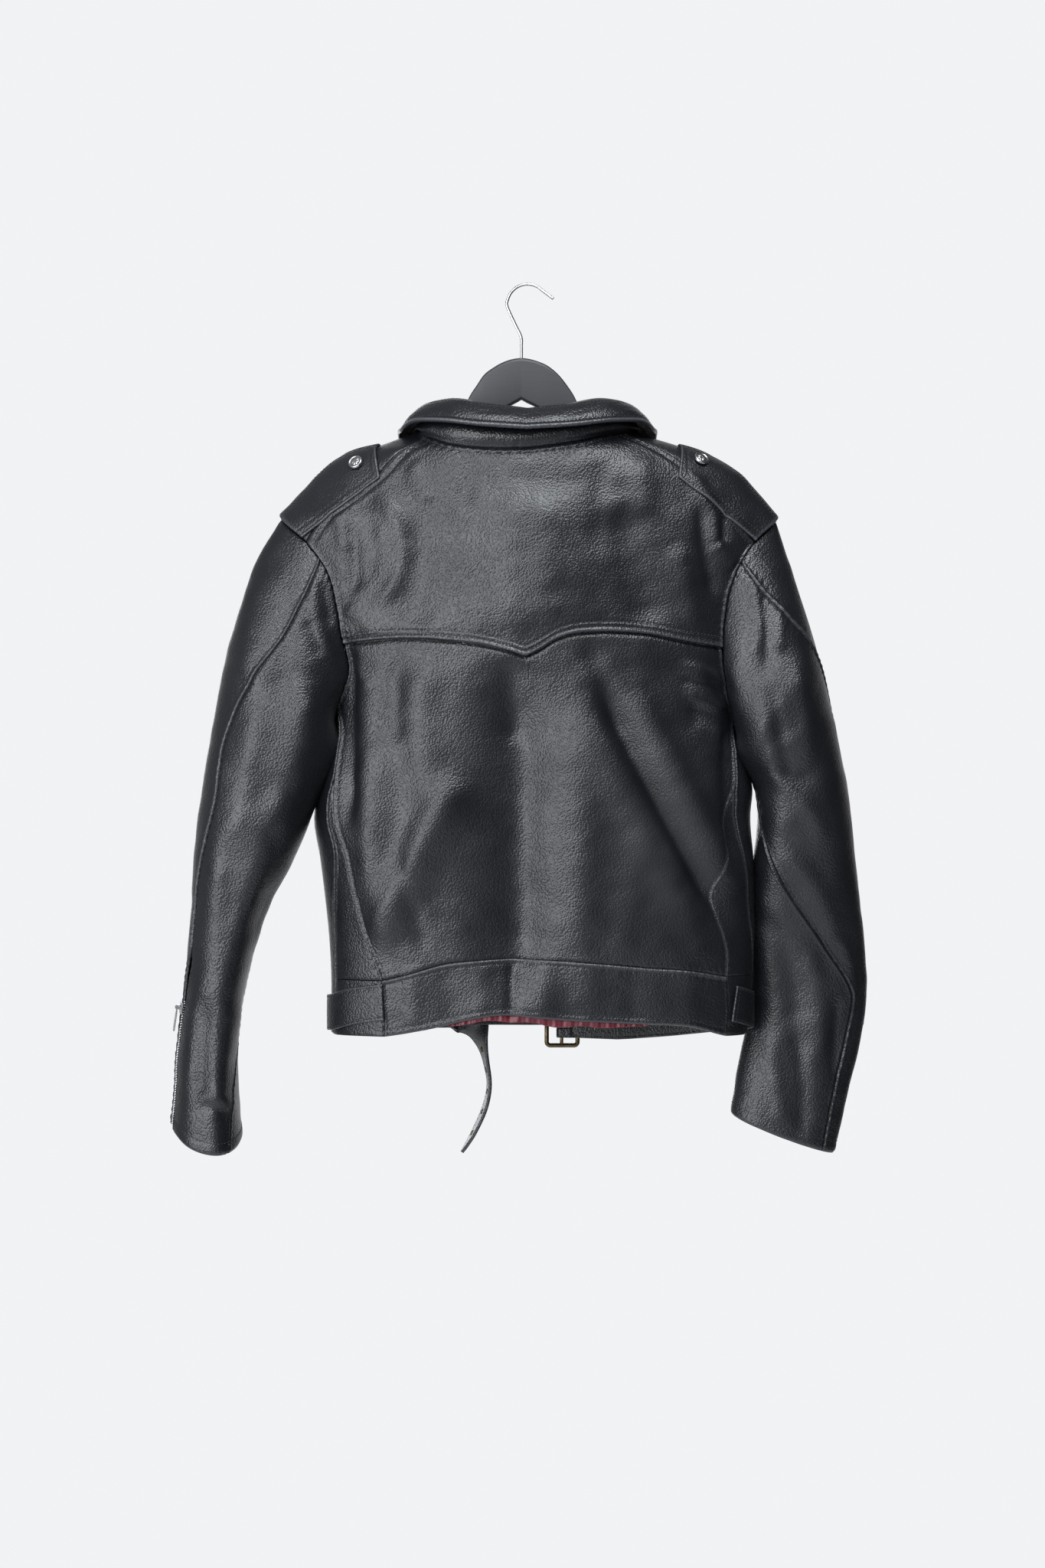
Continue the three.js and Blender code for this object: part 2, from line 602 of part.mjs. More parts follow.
// Outer and inner outline points down each sleeve, its depth front to back, where its middle
// lies front to back, how much its near side droops, and the turns of its two seams.
const sleeveRows = {
  '-1': table(
    'row ox oz ix iz depth y tilt back inner',
    [0, -242, -229, -180, -428, 44, -5, 0, 54.7, 182],
    [1, -266, -270, -181, -434, 54, -7, 0, 75, 188],
    [2, -281, -316, -184, -443, 57, -10, 0, 67.7, 190],
    [3, -294, -362, -189, -456, 58, -12, 0, 58.7, 192],
    [4, -302, -403, -196, -475, 56, -14, 0, 50, 195],
    [5, -311, -452, -205, -499, 54, -16, 0, 44, 197],
    [6, -320, -508, -215, -530, 54, -16, 0, 47, 198],
    [7, -326, -560, -232, -570, 52, -14, 0, 37, 198],
    [8, -328, -605, -250, -603, 50, -12, 0, 29.5, 197],
    [9, -332, -650, -264, -642, 48, -10, 2, 30.7, 196],
    [10, -336, -695, -275, -685, 48, -8, 6, 20, 192],
    [11, -342, -740, -282, -730, 48, -6, 10, 14, 180],
    [12, -345, -785, -283, -775, 49, -4, 15, 12, 154],
    [13, -348, -818, -279, -834, 50, -4, 20, 12, 133],
  ),
  1: table(
    'row ox oz ix iz depth y tilt back inner',
    [0, 243, -230, 197, -440, 44, -5, 0, 52, 184],
    [1, 257, -274, 199, -444, 54, -6, 0, 56.6, 185],
    [2, 271, -318, 203, -451, 57, -7, 0, 37, 183],
    [3, 284, -362, 208, -461, 58, -8, 0, 16, 181],
    [4, 295, -405, 214, -475, 54, -6, 0, -2, 179],
    [5, 305, -450, 222, -492, 50, -4, 0, -14, 175],
    [6, 314, -497, 226, -518, 46, -2, 0, -22, 165],
    [7, 320, -548, 226, -557, 40, 2, 0, -25, 137.7],
    [8, 326, -600, 224, -600, 34, 8, 0, -26, 105],
    [9, 332, -650, 222, -645, 30, 15, 0, -26, 72.5],
    [10, 334, -695, 220, -690, 28, 22, 1, -26, 44],
    [11, 328, -740, 214, -730, 26, 22, 2, -26, 44.8],
    [12, 315, -793, 205, -775, 26, 20, 3, -26, 44],
    [13, 302, -850, 200, -812, 26, 18, 4, -26, 42],
  ),
};
const SLEEVE_END = 13;
const HEAD_ROWS = 3; // over these rows the sleeve takes up the shape of its armhole
const ARMPIT_CLEAR = 2.4; // under the arm the sleeve folds back over the body this far off it
const ARMPIT_TURNS = 48;
const wholeTurn = (turn) => ((((turn + 180) % 360) + 360) % 360) - 180;

// The largest folds of the sleeves, at a turn and a row, with half widths of both.
const sleeveFolds = table(
  'side turn row turns rows height',
  [-1, 95, 4.6, 34, 0.32, 4],
  [-1, 105, 5.3, 30, 0.28, -4],
  [-1, 80, 6.1, 36, 0.34, 3.5],
  [-1, 100, 8.2, 40, 0.4, -3],
  [1, 95, 4.2, 34, 0.34, 4],
  [1, 85, 5.2, 34, 0.3, -4],
  [1, 95, 6, 34, 0.32, 3.5],
  [1, 80, 9, 34, 0.4, -3],
);

const sleeveCurves = Object.fromEntries([-1, 1].map((side) => [side, Object.fromEntries(
  Object.keys(sleeveRows[side][0]).map((name) => [name, smooth(sleeveRows[side], 'row', name)]),
)]));

function sleeveRing(side, turn, row) {
  const at = sleeveCurves[side];
  const [c, s] = [cos(turn), sin(turn)];
  const [ox, oz, ix, iz] = [at.ox(row), at.oz(row), at.ix(row), at.iz(row)];
  return new THREE.Vector3(
    mix(ix, ox, (1 + c) / 2),
    at.y(row) - at.depth(row) * s,
    mix(iz, oz, (1 + c) / 2) - at.tilt(row) * s,
  );
}

function sleeveBump(side, turn, row) {
  let sum = 0;
  for (const fold of sleeveFolds) {
    if (fold.side !== side) continue;
    const a = (turn - fold.turn) / fold.turns;
    const b = (row - fold.row) / fold.rows;
    sum += fold.height * Math.exp(-a * a - b * b);
  }
  return sum;
}

// A point of the sleeve: its own ring, drawn to the armhole near its head.
function sleeve(side, turn, row) {
  const ring = sleeveRing(side, turn, row);
  const pull = 1 - ease(clamp(row / HEAD_ROWS, 0, 1));
  if (pull > 0) {
    const clear = ARMPIT_CLEAR * Math.exp(-1 * (wholeTurn(turn - 180) / ARMPIT_TURNS) ** 2);
    ring.add(raised(...armhole(side, turn), clear).sub(sleeveRing(side, turn, 0)).multiplyScalar(pull));
  }
  const c = sleeveCurves[side];
  const out = new THREE.Vector3(side * cos(turn) * c.depth(row), -sin(turn) * c.depth(row), 0).normalize();
  return ring.addScaledVector(out, sleeveBump(side, turn, row));
}

function sleeveNormal(side, turn, row) {
  const round = sleeve(side, turn + 3, row).sub(sleeve(side, turn - 3, row));
  const low = Math.min(row + 0.08, SLEEVE_END);
  const high = Math.max(row - 0.08, 0);
  const down = sleeve(side, turn, low).sub(sleeve(side, turn, high));
  return round.cross(down).multiplyScalar(side).normalize();
}

const onSleeve = (side, turn, row, lift) =>
  sleeve(side, turn, row).addScaledVector(sleeveNormal(side, turn, row), lift);

const ZIP_TOP_ROW = 9.9; // the cuff zip opens the back seam from here to the cuff
const SLEEVE_STEPS = 20;

for (const side of [-1, 1]) {
  const curves = sleeveCurves[side];
  const halfGap = (row) => mix(SEAM / 2, CHAIN_HALF, ease(clamp((row - ZIP_TOP_ROW + 1) / 0.4, 0, 1)));
  // The seam turns, each drawn in by its half gap along the skin.
  const edgeTurn = (turn, row, gap, way) => {
    const speed = sleeve(side, turn + 1, row).distanceTo(sleeve(side, turn - 1, row)) / 2;
    return turn + (way * gap) / speed;
  };
  const half = (columns, first, second, firstGap, secondGap) => wall(columns, SLEEVE_STEPS, (u, v, inner) => {
    const rough = SLEEVE_END * v ** 1.06;
    const low = edgeTurn(first(rough), rough, firstGap(rough), 1);
    const high = edgeTurn(second(rough), rough, secondGap(rough), -1);
    const turn = mix(low, high, u);
    const start = SLEEVE_SEAM / 10 / sleeve(side, turn, 0.1).distanceTo(sleeve(side, turn, 0));
    const row = mix(Math.min(start, 0.5), SLEEVE_END, v ** 1.06);
    return onSleeve(side, turn, row, -inner * HIDE);
  });
  const plain = () => SEAM / 2;
  add(`sleeve_under_${sideName(side)}`, 'leather', half(9, curves.back, curves.inner, halfGap, plain));
  add(`sleeve_upper_${sideName(side)}`, 'leather',
    half(12, curves.inner, (row) => curves.back(row) + 360, plain, halfGap));
}

// ---------------------------------------------------------------- collar

// From the centre of the back (0) to the front end (1): the neck seam's angle, the top of the
// fold and the free edge of the fall, on the right half. The left half mirrors it.
const collarRows = table(
  's phi fx fy fz ex ey ez',
  [0, 0, 0, -40, -124, 0, -80, -146],
  [0.2, 22, 38, -37, -121, 44, -76, -143],
  [0.4, 40, 70, -25, -115.5, 84, -62, -138],
  [0.55, 55, 90, -8, -118, 110, -42, -137],
  [0.7, 88, 97, 12, -123, 124, -12, -143],
  [0.85, 125, 90, 32, -132, 127, 22, -150],
  [1, 152, 72, 49, -153, 114, 54, -203],
);
const collar = Object.fromEntries(
  Object.keys(collarRows[0]).map((name) => [name, smooth(collarRows, 's', name)]),
);
const FALL_OVER = 4; // the fall passes this far above the stand
const FOOT_GAP = 1.1; // between the neck seam and the stand
const STAND_END = 0.92; // the stand tapers out before the fall's front end

const collarFold = (s, side) => new THREE.Vector3(side * collar.fx(s), collar.fy(s), collar.fz(s));
const collarEdge = (s, side) => new THREE.Vector3(side * collar.ex(s), collar.ey(s), collar.ez(s));
const collarFoot = (s, side) => raised(side * collar.phi(s), neckHeight(side * collar.phi(s)), 0)
  .add(new THREE.Vector3(0, 0, FOOT_GAP));

function stand(s, side, t) {
  const top = collarFold(s, side).add(new THREE.Vector3(0, 0, -FALL_OVER));
  return collarFoot(s, side).lerp(top, t);
}

function fall(s, side, t) {
  const top = collarFold(s, side);
  const end = collarEdge(s, side);
  const bend = new THREE.Vector3(mix(top.x, end.x, 0.65), mix(top.y, end.y, 0.65), top.z + 3);
  return top.multiplyScalar((1 - t) ** 2).addScaledVector(bend, 2 * t * (1 - t)).addScaledVector(end, t * t);
}

function collarWall(columns, rows, at) {
  const place = (u, t) => {
    const s = Math.abs(2 * u - 1);
    return at(Math.min(s, 1), u < 0.5 ? -1 : 1, clamp(t, 0, 1));
  };
  const normal = (u, t) => {
    const along = place(Math.min(u + 0.01, 1), t).sub(place(Math.max(u - 0.01, 0), t));
    const down = place(u, t - 0.05).sub(place(u, t + 0.05));
    return along.cross(down).normalize();
  };
  return wall(columns, rows, (u, v, side) => place(u, v).addScaledVector(normal(u, v), -side * HIDE));
}

add('collar_stand', 'leather', collarWall(22, 2, (s, side, t) => stand(s * STAND_END, side, 1 - t)));
add('collar_fall', 'leather', collarWall(22, 5, fall));

// ---------------------------------------------------------------- epaulettes

// Each lies over the shoulder seam from the armhole to its arrow point by the collar. Its
// near edge is given in the back view, its far edge follows the ridge of the shoulder.
const epauletteEnds = {
  '-1': { corner: [-142, -192], far: [-96, -168], tip: [-140.5, -158] },
  1: { corner: [145, -191], far: [96, -169], tip: [144, -158] },
};
const EPAULETTE_TURNS = [-10, 38.5]; // of the armhole, from its far edge to its near edge
const EPAULETTE_OFF = 2; // its end stands this far inside the armhole
const SNAP_RADIUS = 7.4;
const snapPlaces = { '-1': [-165, -178], 1: [167, -175] };

for (const side of [-1, 1]) {
  const { corner, far, tip } = epauletteEnds[side];
  const onBack = ([x, z]) => [backAngle(x, z), z];
  const tipPoint = onBack(tip);
  const outerEnd = (t) => {
    const [phi, z] = armhole(side, mix(...EPAULETTE_TURNS, t));
    return [phi, z + EPAULETTE_OFF];
  };
  const blunt = 3;
  const near = edge(
    [7, between(outerEnd(1), onBack(corner))],
    [3, between(onBack(corner), [tipPoint[0] - side * blunt, tipPoint[1] - blunt])],
  );
  const away = edge(
    [7, between(outerEnd(0), far)],
    [3, between(far, [tipPoint[0] + side * blunt, tipPoint[1]])],
  );
  const [low, high] = side < 0 ? [away, near] : [near, away];
  add(`epaulette_${sideName(side)}`, 'leather', panel({
    left: low,
    right: high,
    top: edge([4, side < 0 ? outerEnd : (t) => outerEnd(1 - t)]),
    bottom: edge([4, between(low.at(1), high.at(1))]),
  }, { lift: STRAP + HIDE }));

  const cap = new THREE.LatheGeometry([
    [0, 0], [SNAP_RADIUS, 0], [SNAP_RADIUS, 1.2], [SNAP_RADIUS - 1.6, 2.6], [3, 3.3], [0, 3.5],
  ].map(([r, h]) => new THREE.Vector2(r, h)), 16);
  const [phi, z] = onBack(snapPlaces[side]);
  const normal = bodyNormal(phi, z);
  const turn = new THREE.Quaternion().setFromUnitVectors(new THREE.Vector3(0, 1, 0), normal);
  const place = raised(phi, z, STRAP + HIDE + 0.8);
  add(`epaulette_snap_${sideName(side)}`, 'nickel', cap,
    new THREE.Matrix4().compose(place, turn, new THREE.Vector3(1, 1, 1)));
}

// ---------------------------------------------------------------- belts and buckle

// A strap: rows of centre, wide direction and half width, with the thickness square to both.
function strap(rows, thick) {
  return loft(rows.map(({ at, wide, half }, i) => {
    const before = rows[Math.max(i - 1, 0)].at;
    const after = rows[Math.min(i + 1, rows.length - 1)].at;
    const along = after.clone().sub(before).normalize();
    const across = wide.clone().addScaledVector(along, -wide.dot(along)).normalize();
    const out = along.clone().cross(across).multiplyScalar(thick / 2);
    return [[1, 1], [1, -1], [-1, -1], [-1, 1]].map(([w, n]) =>
      at.clone().addScaledVector(across, w * half).addScaledVector(out, n));
  }));
}

// Height of a belt's middle by the angle round the body.
const beltMiddle = {
  '-1': smooth(table('phi z',
    [48, -698.5], [63, -703.5], [75, -709], [90, -711], [120, -712], [160, -712]), 'phi', 'z'),
  1: smooth(table('phi z',
    [64, -700.5], [75, -705], [90, -708.5], [120, -714], [150, -722], [170, -726]), 'phi', 'z'),
};
const BELT_LIFT = STRAP + BELT_THICK / 2;
const UP = new THREE.Vector3(0, 0, 1);
const beltRow = (side, phi) => ({
  at: raised(side * phi, beltMiddle[side](phi), BELT_LIFT),
  wide: UP,
  half: BELT_WIDTH / 2,
});
const beltRows = (side, from, to, steps) =>
  Array.from({ length: steps + 1 }, (_, i) => beltRow(side, mix(from, to, i / steps)));

// Left belt: round the side, then its free end falls from the front, turned edge on.
const tailRows = table(
  'x y z turn half',
  [-66, 57, -716, 0, 17.5],
  [-54, 60, -727, 20, 17.5],
  [-46, 62, -745, 50, 17.5],
  [-41, 62, -765, 75, 17.5],
  [-38, 61, -787, 88, 17.5],
  [-42, 60, -809, 92, 17.5],
  [-52, 60, -832, 90, 17.5],
  [-60, 60, -846, 90, 11],
  [-65, 60, -854, 90, 2],
);
const LEFT_BELT_END = 155;
add('belt_left', 'leather', strap([
  ...beltRows(-1, 47.5, LEFT_BELT_END, 16),
  ...tailRows.map(({ x, y, z, turn, half }) => ({
    at: new THREE.Vector3(x, y, z),
    wide: new THREE.Vector3(sin(turn) * 0.3, -sin(turn), cos(turn)),
    half,
  })),
], BELT_THICK));

// Buckle: a rounded frame with a centre bar, which the right belt's end loops round.
const buckle = { left: 17, right: 52, low: -750, high: -702, y: 60, bar: 2.4, corner: 7, post: 34 };
const buckleMid = (buckle.low + buckle.high) / 2;
const LOOP_THICK = 2.2;
const LOOP_RADIUS = buckle.bar + 0.6 + LOOP_THICK / 2;

const wrap = Array.from({ length: 7 }, (_, i) => {
  const turn = -90 - 180 * (i / 6);
  return [buckle.post + LOOP_RADIUS * cos(turn), buckle.y + LOOP_RADIUS * sin(turn)];
});
const loopPath = [[50, 52.4], [42, 54.2], ...wrap, [41.5, buckle.y + LOOP_RADIUS - 0.2]];
const beltLoop = strap([
  ...beltRows(1, 64.6, 158, 15),
  ...loopPath.map(([x, y]) => ({ at: new THREE.Vector3(x, y, buckleMid), wide: UP, half: 14 })),
], LOOP_THICK + 0.3);
const slot = new THREE.BoxGeometry(20, 30, 7).translate(buckle.post + 1, buckle.y, buckleMid);
add('belt_right', 'leather', cut(beltLoop, slot));

const roundBar = (at, along, radius, sides = 8) => {
  const first = new THREE.Vector3(0, 1, 0);
  const second = first.clone().cross(along).normalize();
  return Array.from({ length: sides }, (_, i) => at.clone()
    .addScaledVector(first, radius * cos((360 * i) / sides))
    .addScaledVector(second, radius * sin((360 * i) / sides)));
};
const frameRings = [];
const inset = buckle.corner + buckle.bar;
for (const [cx, cz, start] of [
  [buckle.right - inset, buckle.high - inset, 0], [buckle.left + inset, buckle.high - inset, 90],
  [buckle.left + inset, buckle.low + inset, 180], [buckle.right - inset, buckle.low + inset, 270],
]) {
  for (let k = 0; k <= 3; k += 1) {
    const turn = start + 30 * k;
    const at = new THREE.Vector3(cx + buckle.corner * cos(turn), buckle.y, cz + buckle.corner * sin(turn));
    frameRings.push(roundBar(at, new THREE.Vector3(-sin(turn), 0, cos(turn)), buckle.bar));
  }
}
const postLength = buckle.high - buckle.low - 2 * buckle.bar;
const post = new THREE.CylinderGeometry(buckle.bar * 0.8, buckle.bar * 0.8, postLength, 8)
  .rotateX(Math.PI / 2).translate(buckle.post, buckle.y, buckleMid);
add('buckle_frame', 'brass', join(loft(frameRings, true), post));

// The prong turns on the centre bar and rests on the frame's left bar.
function ring(inner, outer, width, sides = 14) {
  return new THREE.LatheGeometry([
    [inner, -width / 2], [outer, -width / 2], [outer, width / 2], [inner, width / 2], [inner, -width / 2],
  ].map(([r, h]) => new THREE.Vector2(r, h)), sides);
}
const prongEye = ring(buckle.bar * 0.8 + 0.5, buckle.bar * 0.8 + 2.6, 4.4).rotateX(Math.PI / 2);
const prongReach = buckle.post - buckle.left + 1;
const prongTongue = new THREE.BoxGeometry(prongReach - 3, 2, 3.6)
  .translate(-prongReach / 2 - 1.5, buckle.bar + 1.4, 0);
add('buckle_prong', 'brass', join(prongEye, prongTongue),
  new THREE.Matrix4().makeTranslation(buckle.post, buckle.y, buckleMid));

// ---------------------------------------------------------------- zips

// A closed chain of teeth as a plain strip along rows of centre and out direction.
const chain = (rows) => loft(rows.map(({ at, out }, i) => {
  const before = rows[Math.max(i - 1, 0)].at;
  const after = rows[Math.min(i + 1, rows.length - 1)].at;
  const along = after.clone().sub(before).normalize();
  const across = along.clone().cross(out).normalize().multiplyScalar(CHAIN_WIDTH / 2 - 0.2);
  const up = out.clone().multiplyScalar(CHAIN_THICK / 2);
  return [[1, 1], [1, -1], [-1, -1], [-1, 1]].map(([a, b]) =>
    at.clone().addScaledVector(across, a).addScaledVector(up, b));
}));

const mainZipPlace = (z, lift) => {
  const phi = frontAngle(zipX(z), z, 1);
  return { at: raised(phi, z, lift), out: bodyNormal(phi, z) };
};
const CHAIN_SINK = -0.8; // the chain's middle lies this far under the leather's face
add('main_zip', 'teeth', chain(Array.from({ length: 17 }, (_, i) =>
  mainZipPlace(mix(ZIP_BREAK.z - 8, frontHemHeight(18) + 4, i / 16), CHAIN_SINK))));

const cuffZipPlace = (side, row, lift) => {
  const turn = sleeveCurves[side].back(row);
  return { at: onSleeve(side, turn, row, lift), out: sleeveNormal(side, turn, row) };
};
const CUFF_ZIP_ROWS = [ZIP_TOP_ROW + 0.15, SLEEVE_END - 0.06];
for (const side of [-1, 1]) {
  add(`cuff_zip_${sideName(side)}`, 'teeth', chain(Array.from({ length: 9 }, (_, i) =>
    cuffZipPlace(side, mix(...CUFF_ZIP_ROWS, i / 8), CHAIN_SINK))));
}

// Slider: a plate with two posts and a pin; its pull tab hangs on the pin by an eye.
const slider = { width: 8.4, length: 11, plate: 1.8, pin: 0.8, pinHeight: 4.9, gap: 3.2, post: 1.4 };
const pull = { length: 24, width: 6.4, thick: 1.3, eyeInner: 1.15, eyeOuter: 2.15 };

function sliderBody() {
  const plate = new THREE.BoxGeometry(slider.width, slider.length, slider.plate)
    .translate(0, 0, slider.plate / 2);
  const posts = [-1, 1].map((way) => new THREE.BoxGeometry(slider.post, 3, slider.pinHeight)
    .translate((way * (slider.gap + slider.post)) / 2, 0, slider.pinHeight / 2 + 0.6));
  const pin = new THREE.CylinderGeometry(slider.pin, slider.pin, slider.gap + slider.post, 8)
    .rotateZ(Math.PI / 2).translate(0, 0, slider.pinHeight);
  return join(plate, ...posts, pin);
}

function pullTab() {
  const eye = ring(pull.eyeInner, pull.eyeOuter, slider.gap - 0.8).rotateZ(Math.PI / 2);
  const neck = new THREE.BoxGeometry(slider.gap - 0.8, 4, pull.thick).translate(0, -3.2, 0);
  const outline = new THREE.Shape([
    [-1.6, -4.6], [-pull.width / 2, -8], [-pull.width / 2, -pull.length + 2], [-1.6, -pull.length],
    [1.6, -pull.length], [pull.width / 2, -pull.length + 2], [pull.width / 2, -8], [1.6, -4.6],
  ].map(([x, y]) => new THREE.Vector2(x, y)));
  const blade = new THREE.ExtrudeGeometry(outline, { depth: pull.thick, bevelEnabled: false })
    .translate(0, 0, -pull.thick / 2);
  return join(eye, neck, blade);
}

// Both are placed by a frame: x across the zip, y up along it, z out of the leather.
function zipFurniture(name, sliderName, { at, out }, above) {
  const along = above.clone().sub(at).normalize();
  const up = along.addScaledVector(out, -along.dot(out)).normalize();
  const across = up.clone().cross(out);
  const basis = new THREE.Matrix4().makeBasis(across, up, out);
  const rest = basis.clone().setPosition(at);
  const pin = at.clone().addScaledVector(out, slider.pinHeight);
  add(sliderName, 'nickel', sliderBody(), rest);
  add(name, 'nickel', pullTab(), basis.clone().setPosition(pin));
}

const SLIDER_LIFT = CHAIN_SINK + CHAIN_THICK / 2 + 0.5;
zipFurniture('main_zip_pull', 'main_zip_slider', mainZipPlace(ZIP_BREAK.z - 14, SLIDER_LIFT),
  mainZipPlace(ZIP_BREAK.z - 4, SLIDER_LIFT).at);
for (const side of [-1, 1]) {
  const row = ZIP_TOP_ROW + 0.3;
  zipFurniture(`cuff_zip_pull_${sideName(side)}`, `cuff_zip_slider_${sideName(side)}`,
    cuffZipPlace(side, row, SLIDER_LIFT), cuffZipPlace(side, row - 0.2, SLIDER_LIFT).at);
}

// ---------------------------------------------------------------- hanger

// A flat board: a hump with a notch under it, and two arms that follow the shoulders inside.
const ARM_SEAT = 6; // from the ridge of the shoulder to the top of the board
const WOOD_EDGE = 3.5; // how far the board's edges are rounded over
const ARM_TALL = 19;
const RIDGE = [-147, -156, -166, -176, -188, -202];

function ridgeBelow(side, z, depth) {
  const line = section[sideName(side)];
  const slope = new THREE.Vector2(line(z - 2) - line(z + 2), -4).normalize();
  return new THREE.Vector2(side * (line(z) + slope.y * depth), z - slope.x * depth);
}

const hump = [[-62, -119], [-56, -107], [-50, -98], [-44, -89], [-33, -80], [-20, -73.5], [-6, -71],
  [8, -73.5], [22, -80], [32, -89], [39, -98], [45, -107], [51, -119]];
const notch = [[10.7, -120.5], [-6, -112.5], [-30, -124.5]];
const armTop = (side) => RIDGE.map((z) => ridgeBelow(side, z, ARM_SEAT));
const armFootLine = (side) => [...RIDGE].reverse().map((z) => ridgeBelow(side, z, ARM_SEAT + ARM_TALL));
const board = new THREE.Shape([
  ...hump.map(([x, z]) => new THREE.Vector2(x, z)),
  ...armTop(1),
  ...armFootLine(1),
  ...notch.map(([x, z]) => new THREE.Vector2(x, z)),
  ...armFootLine(-1).reverse(),
  ...armTop(-1).reverse(),
]);
const roundedOver = {
  depth: WOOD_THICK - 2 * WOOD_EDGE,
  bevelThickness: WOOD_EDGE,
  bevelSize: WOOD_EDGE,
  bevelOffset: -WOOD_EDGE,
  bevelSegments: 2,
};
add('hanger_wood', 'wood', new THREE.ExtrudeGeometry(board, roundedOver)
  .translate(0, 0, -WOOD_THICK / 2 + WOOD_EDGE).rotateX(Math.PI / 2));

// The wire hook: a stem out of the hump, then most of a circle open to the right.
const crownZ = -HOOK_RADIUS + WIRE / 2;
const arc = [185, 165, 145, 125, 105, 90, 75, 60, 45].map((turn) =>
  new THREE.Vector3(HOOK_RADIUS * cos(turn), 0, crownZ + HOOK_RADIUS * sin(turn)));
const hookPath = new THREE.CatmullRomCurve3([
  new THREE.Vector3(-6, 0, -70.6), new THREE.Vector3(-6, 0, -60), new THREE.Vector3(-6.4, 0, -50),
  new THREE.Vector3(-12, 0, -38), ...arc, new THREE.Vector3(25.4, 0, -12.8),
]);
const wireSection = new THREE.Shape(Array.from({ length: 8 }, (_, i) =>
  new THREE.Vector2((WIRE / 2) * cos(45 * i), (WIRE / 2) * sin(45 * i))));
add('hanger_hook', 'wire', new THREE.ExtrudeGeometry(wireSection, { steps: 40, extrudePath: hookPath }));

export default scene;
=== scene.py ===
import bpy
import numpy as np
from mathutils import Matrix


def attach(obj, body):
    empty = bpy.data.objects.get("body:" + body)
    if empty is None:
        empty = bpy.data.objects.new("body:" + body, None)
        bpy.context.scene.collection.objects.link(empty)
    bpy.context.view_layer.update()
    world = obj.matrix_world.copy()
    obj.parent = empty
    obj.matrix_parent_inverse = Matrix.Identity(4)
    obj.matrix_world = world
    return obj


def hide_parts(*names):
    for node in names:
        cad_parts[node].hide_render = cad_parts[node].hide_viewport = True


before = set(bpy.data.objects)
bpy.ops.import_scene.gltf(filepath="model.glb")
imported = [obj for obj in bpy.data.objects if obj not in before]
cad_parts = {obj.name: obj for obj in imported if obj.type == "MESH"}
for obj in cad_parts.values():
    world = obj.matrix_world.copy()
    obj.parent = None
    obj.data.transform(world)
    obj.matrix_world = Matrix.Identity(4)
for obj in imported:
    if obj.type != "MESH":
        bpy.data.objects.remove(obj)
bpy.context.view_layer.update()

# ------------------------------------------------------------------ the studio
# The jacket hangs in a pale room: white walls before and behind it, a dim one to its right, and
# a matt floor far below the hem. Three wide soft lamps light its back and one its front.
MM = 0.001
LENS_MM = 93.75
FRAME_SIDE_MM = 36.0
EYE = np.array([-4.9, -4000.0, -488.0]) * MM
# Axis of sight, where along it a wall starts to be bright and is full, and its brightness there.
WALLS = (("Y", 0.6, 0.94, 0.0, 0.93), ("Y", -0.86, -0.97, 0.0, 0.62), ("X", 0.4, -0.6, 0.07, 0.3))
# Place and width in metres, and power in watts.
LAMPS = (
    ("key_softbox", (-1.5, -3.1, 0.75), 2.0, 84.0), ("left_softbox", (-2.0, -2.0, -0.8), 1.7, 42.0),
    ("top_softbox", (0.3, -1.3, 1.45), 1.5, 62.0), ("front_softbox", (-0.4, 2.9, -0.1), 1.8, 20.0),
)
LAMP_TINT = (0.93, 0.965, 1.0)
LAMP_AIM = np.array([0.0, 0.0, -0.45])
FLOOR_Z = -1600.0
FLOOR_RADIUS = 1700.0
FLOOR_HOLE = 0.0003  # share of the radius left open in the middle
FLOOR_SPOKES, FLOOR_HOOPS = 65, 6


def linear(hex_colour):
    """sRGB hex to linear RGBA: below 0.04045 divide by 12.92, above it the 2.4 power law."""
    srgb = np.array([int(hex_colour[i:i + 2], 16) for i in (1, 3, 5)]) / 255
    rgb = np.where(srgb <= 0.04045, srgb / 12.92, ((srgb + 0.055) / 1.055) ** 2.4)
    return (*rgb.tolist(), 1.0)


def node(tree, kind, props=None, values=None, links=None):
    """Adds one node: props are its own settings, values its input values, links its input links."""
    made = tree.nodes.new(kind)
    for name, value in (props or {}).items():
        setattr(made, name, value)
    for name, value in (values or {}).items():
        made.inputs[name].default_value = value
    for name, (source, output) in (links or {}).items():
        tree.links.new(source.outputs[output], made.inputs[name])
    return made


def grid_faces(ids):
    """Quads of a grid of vertex numbers, each round its own cell in the same turn."""
    return np.stack([ids[:-1, :-1], ids[:-1, 1:], ids[1:, 1:], ids[1:, :-1]], -1).reshape(-1, 4)


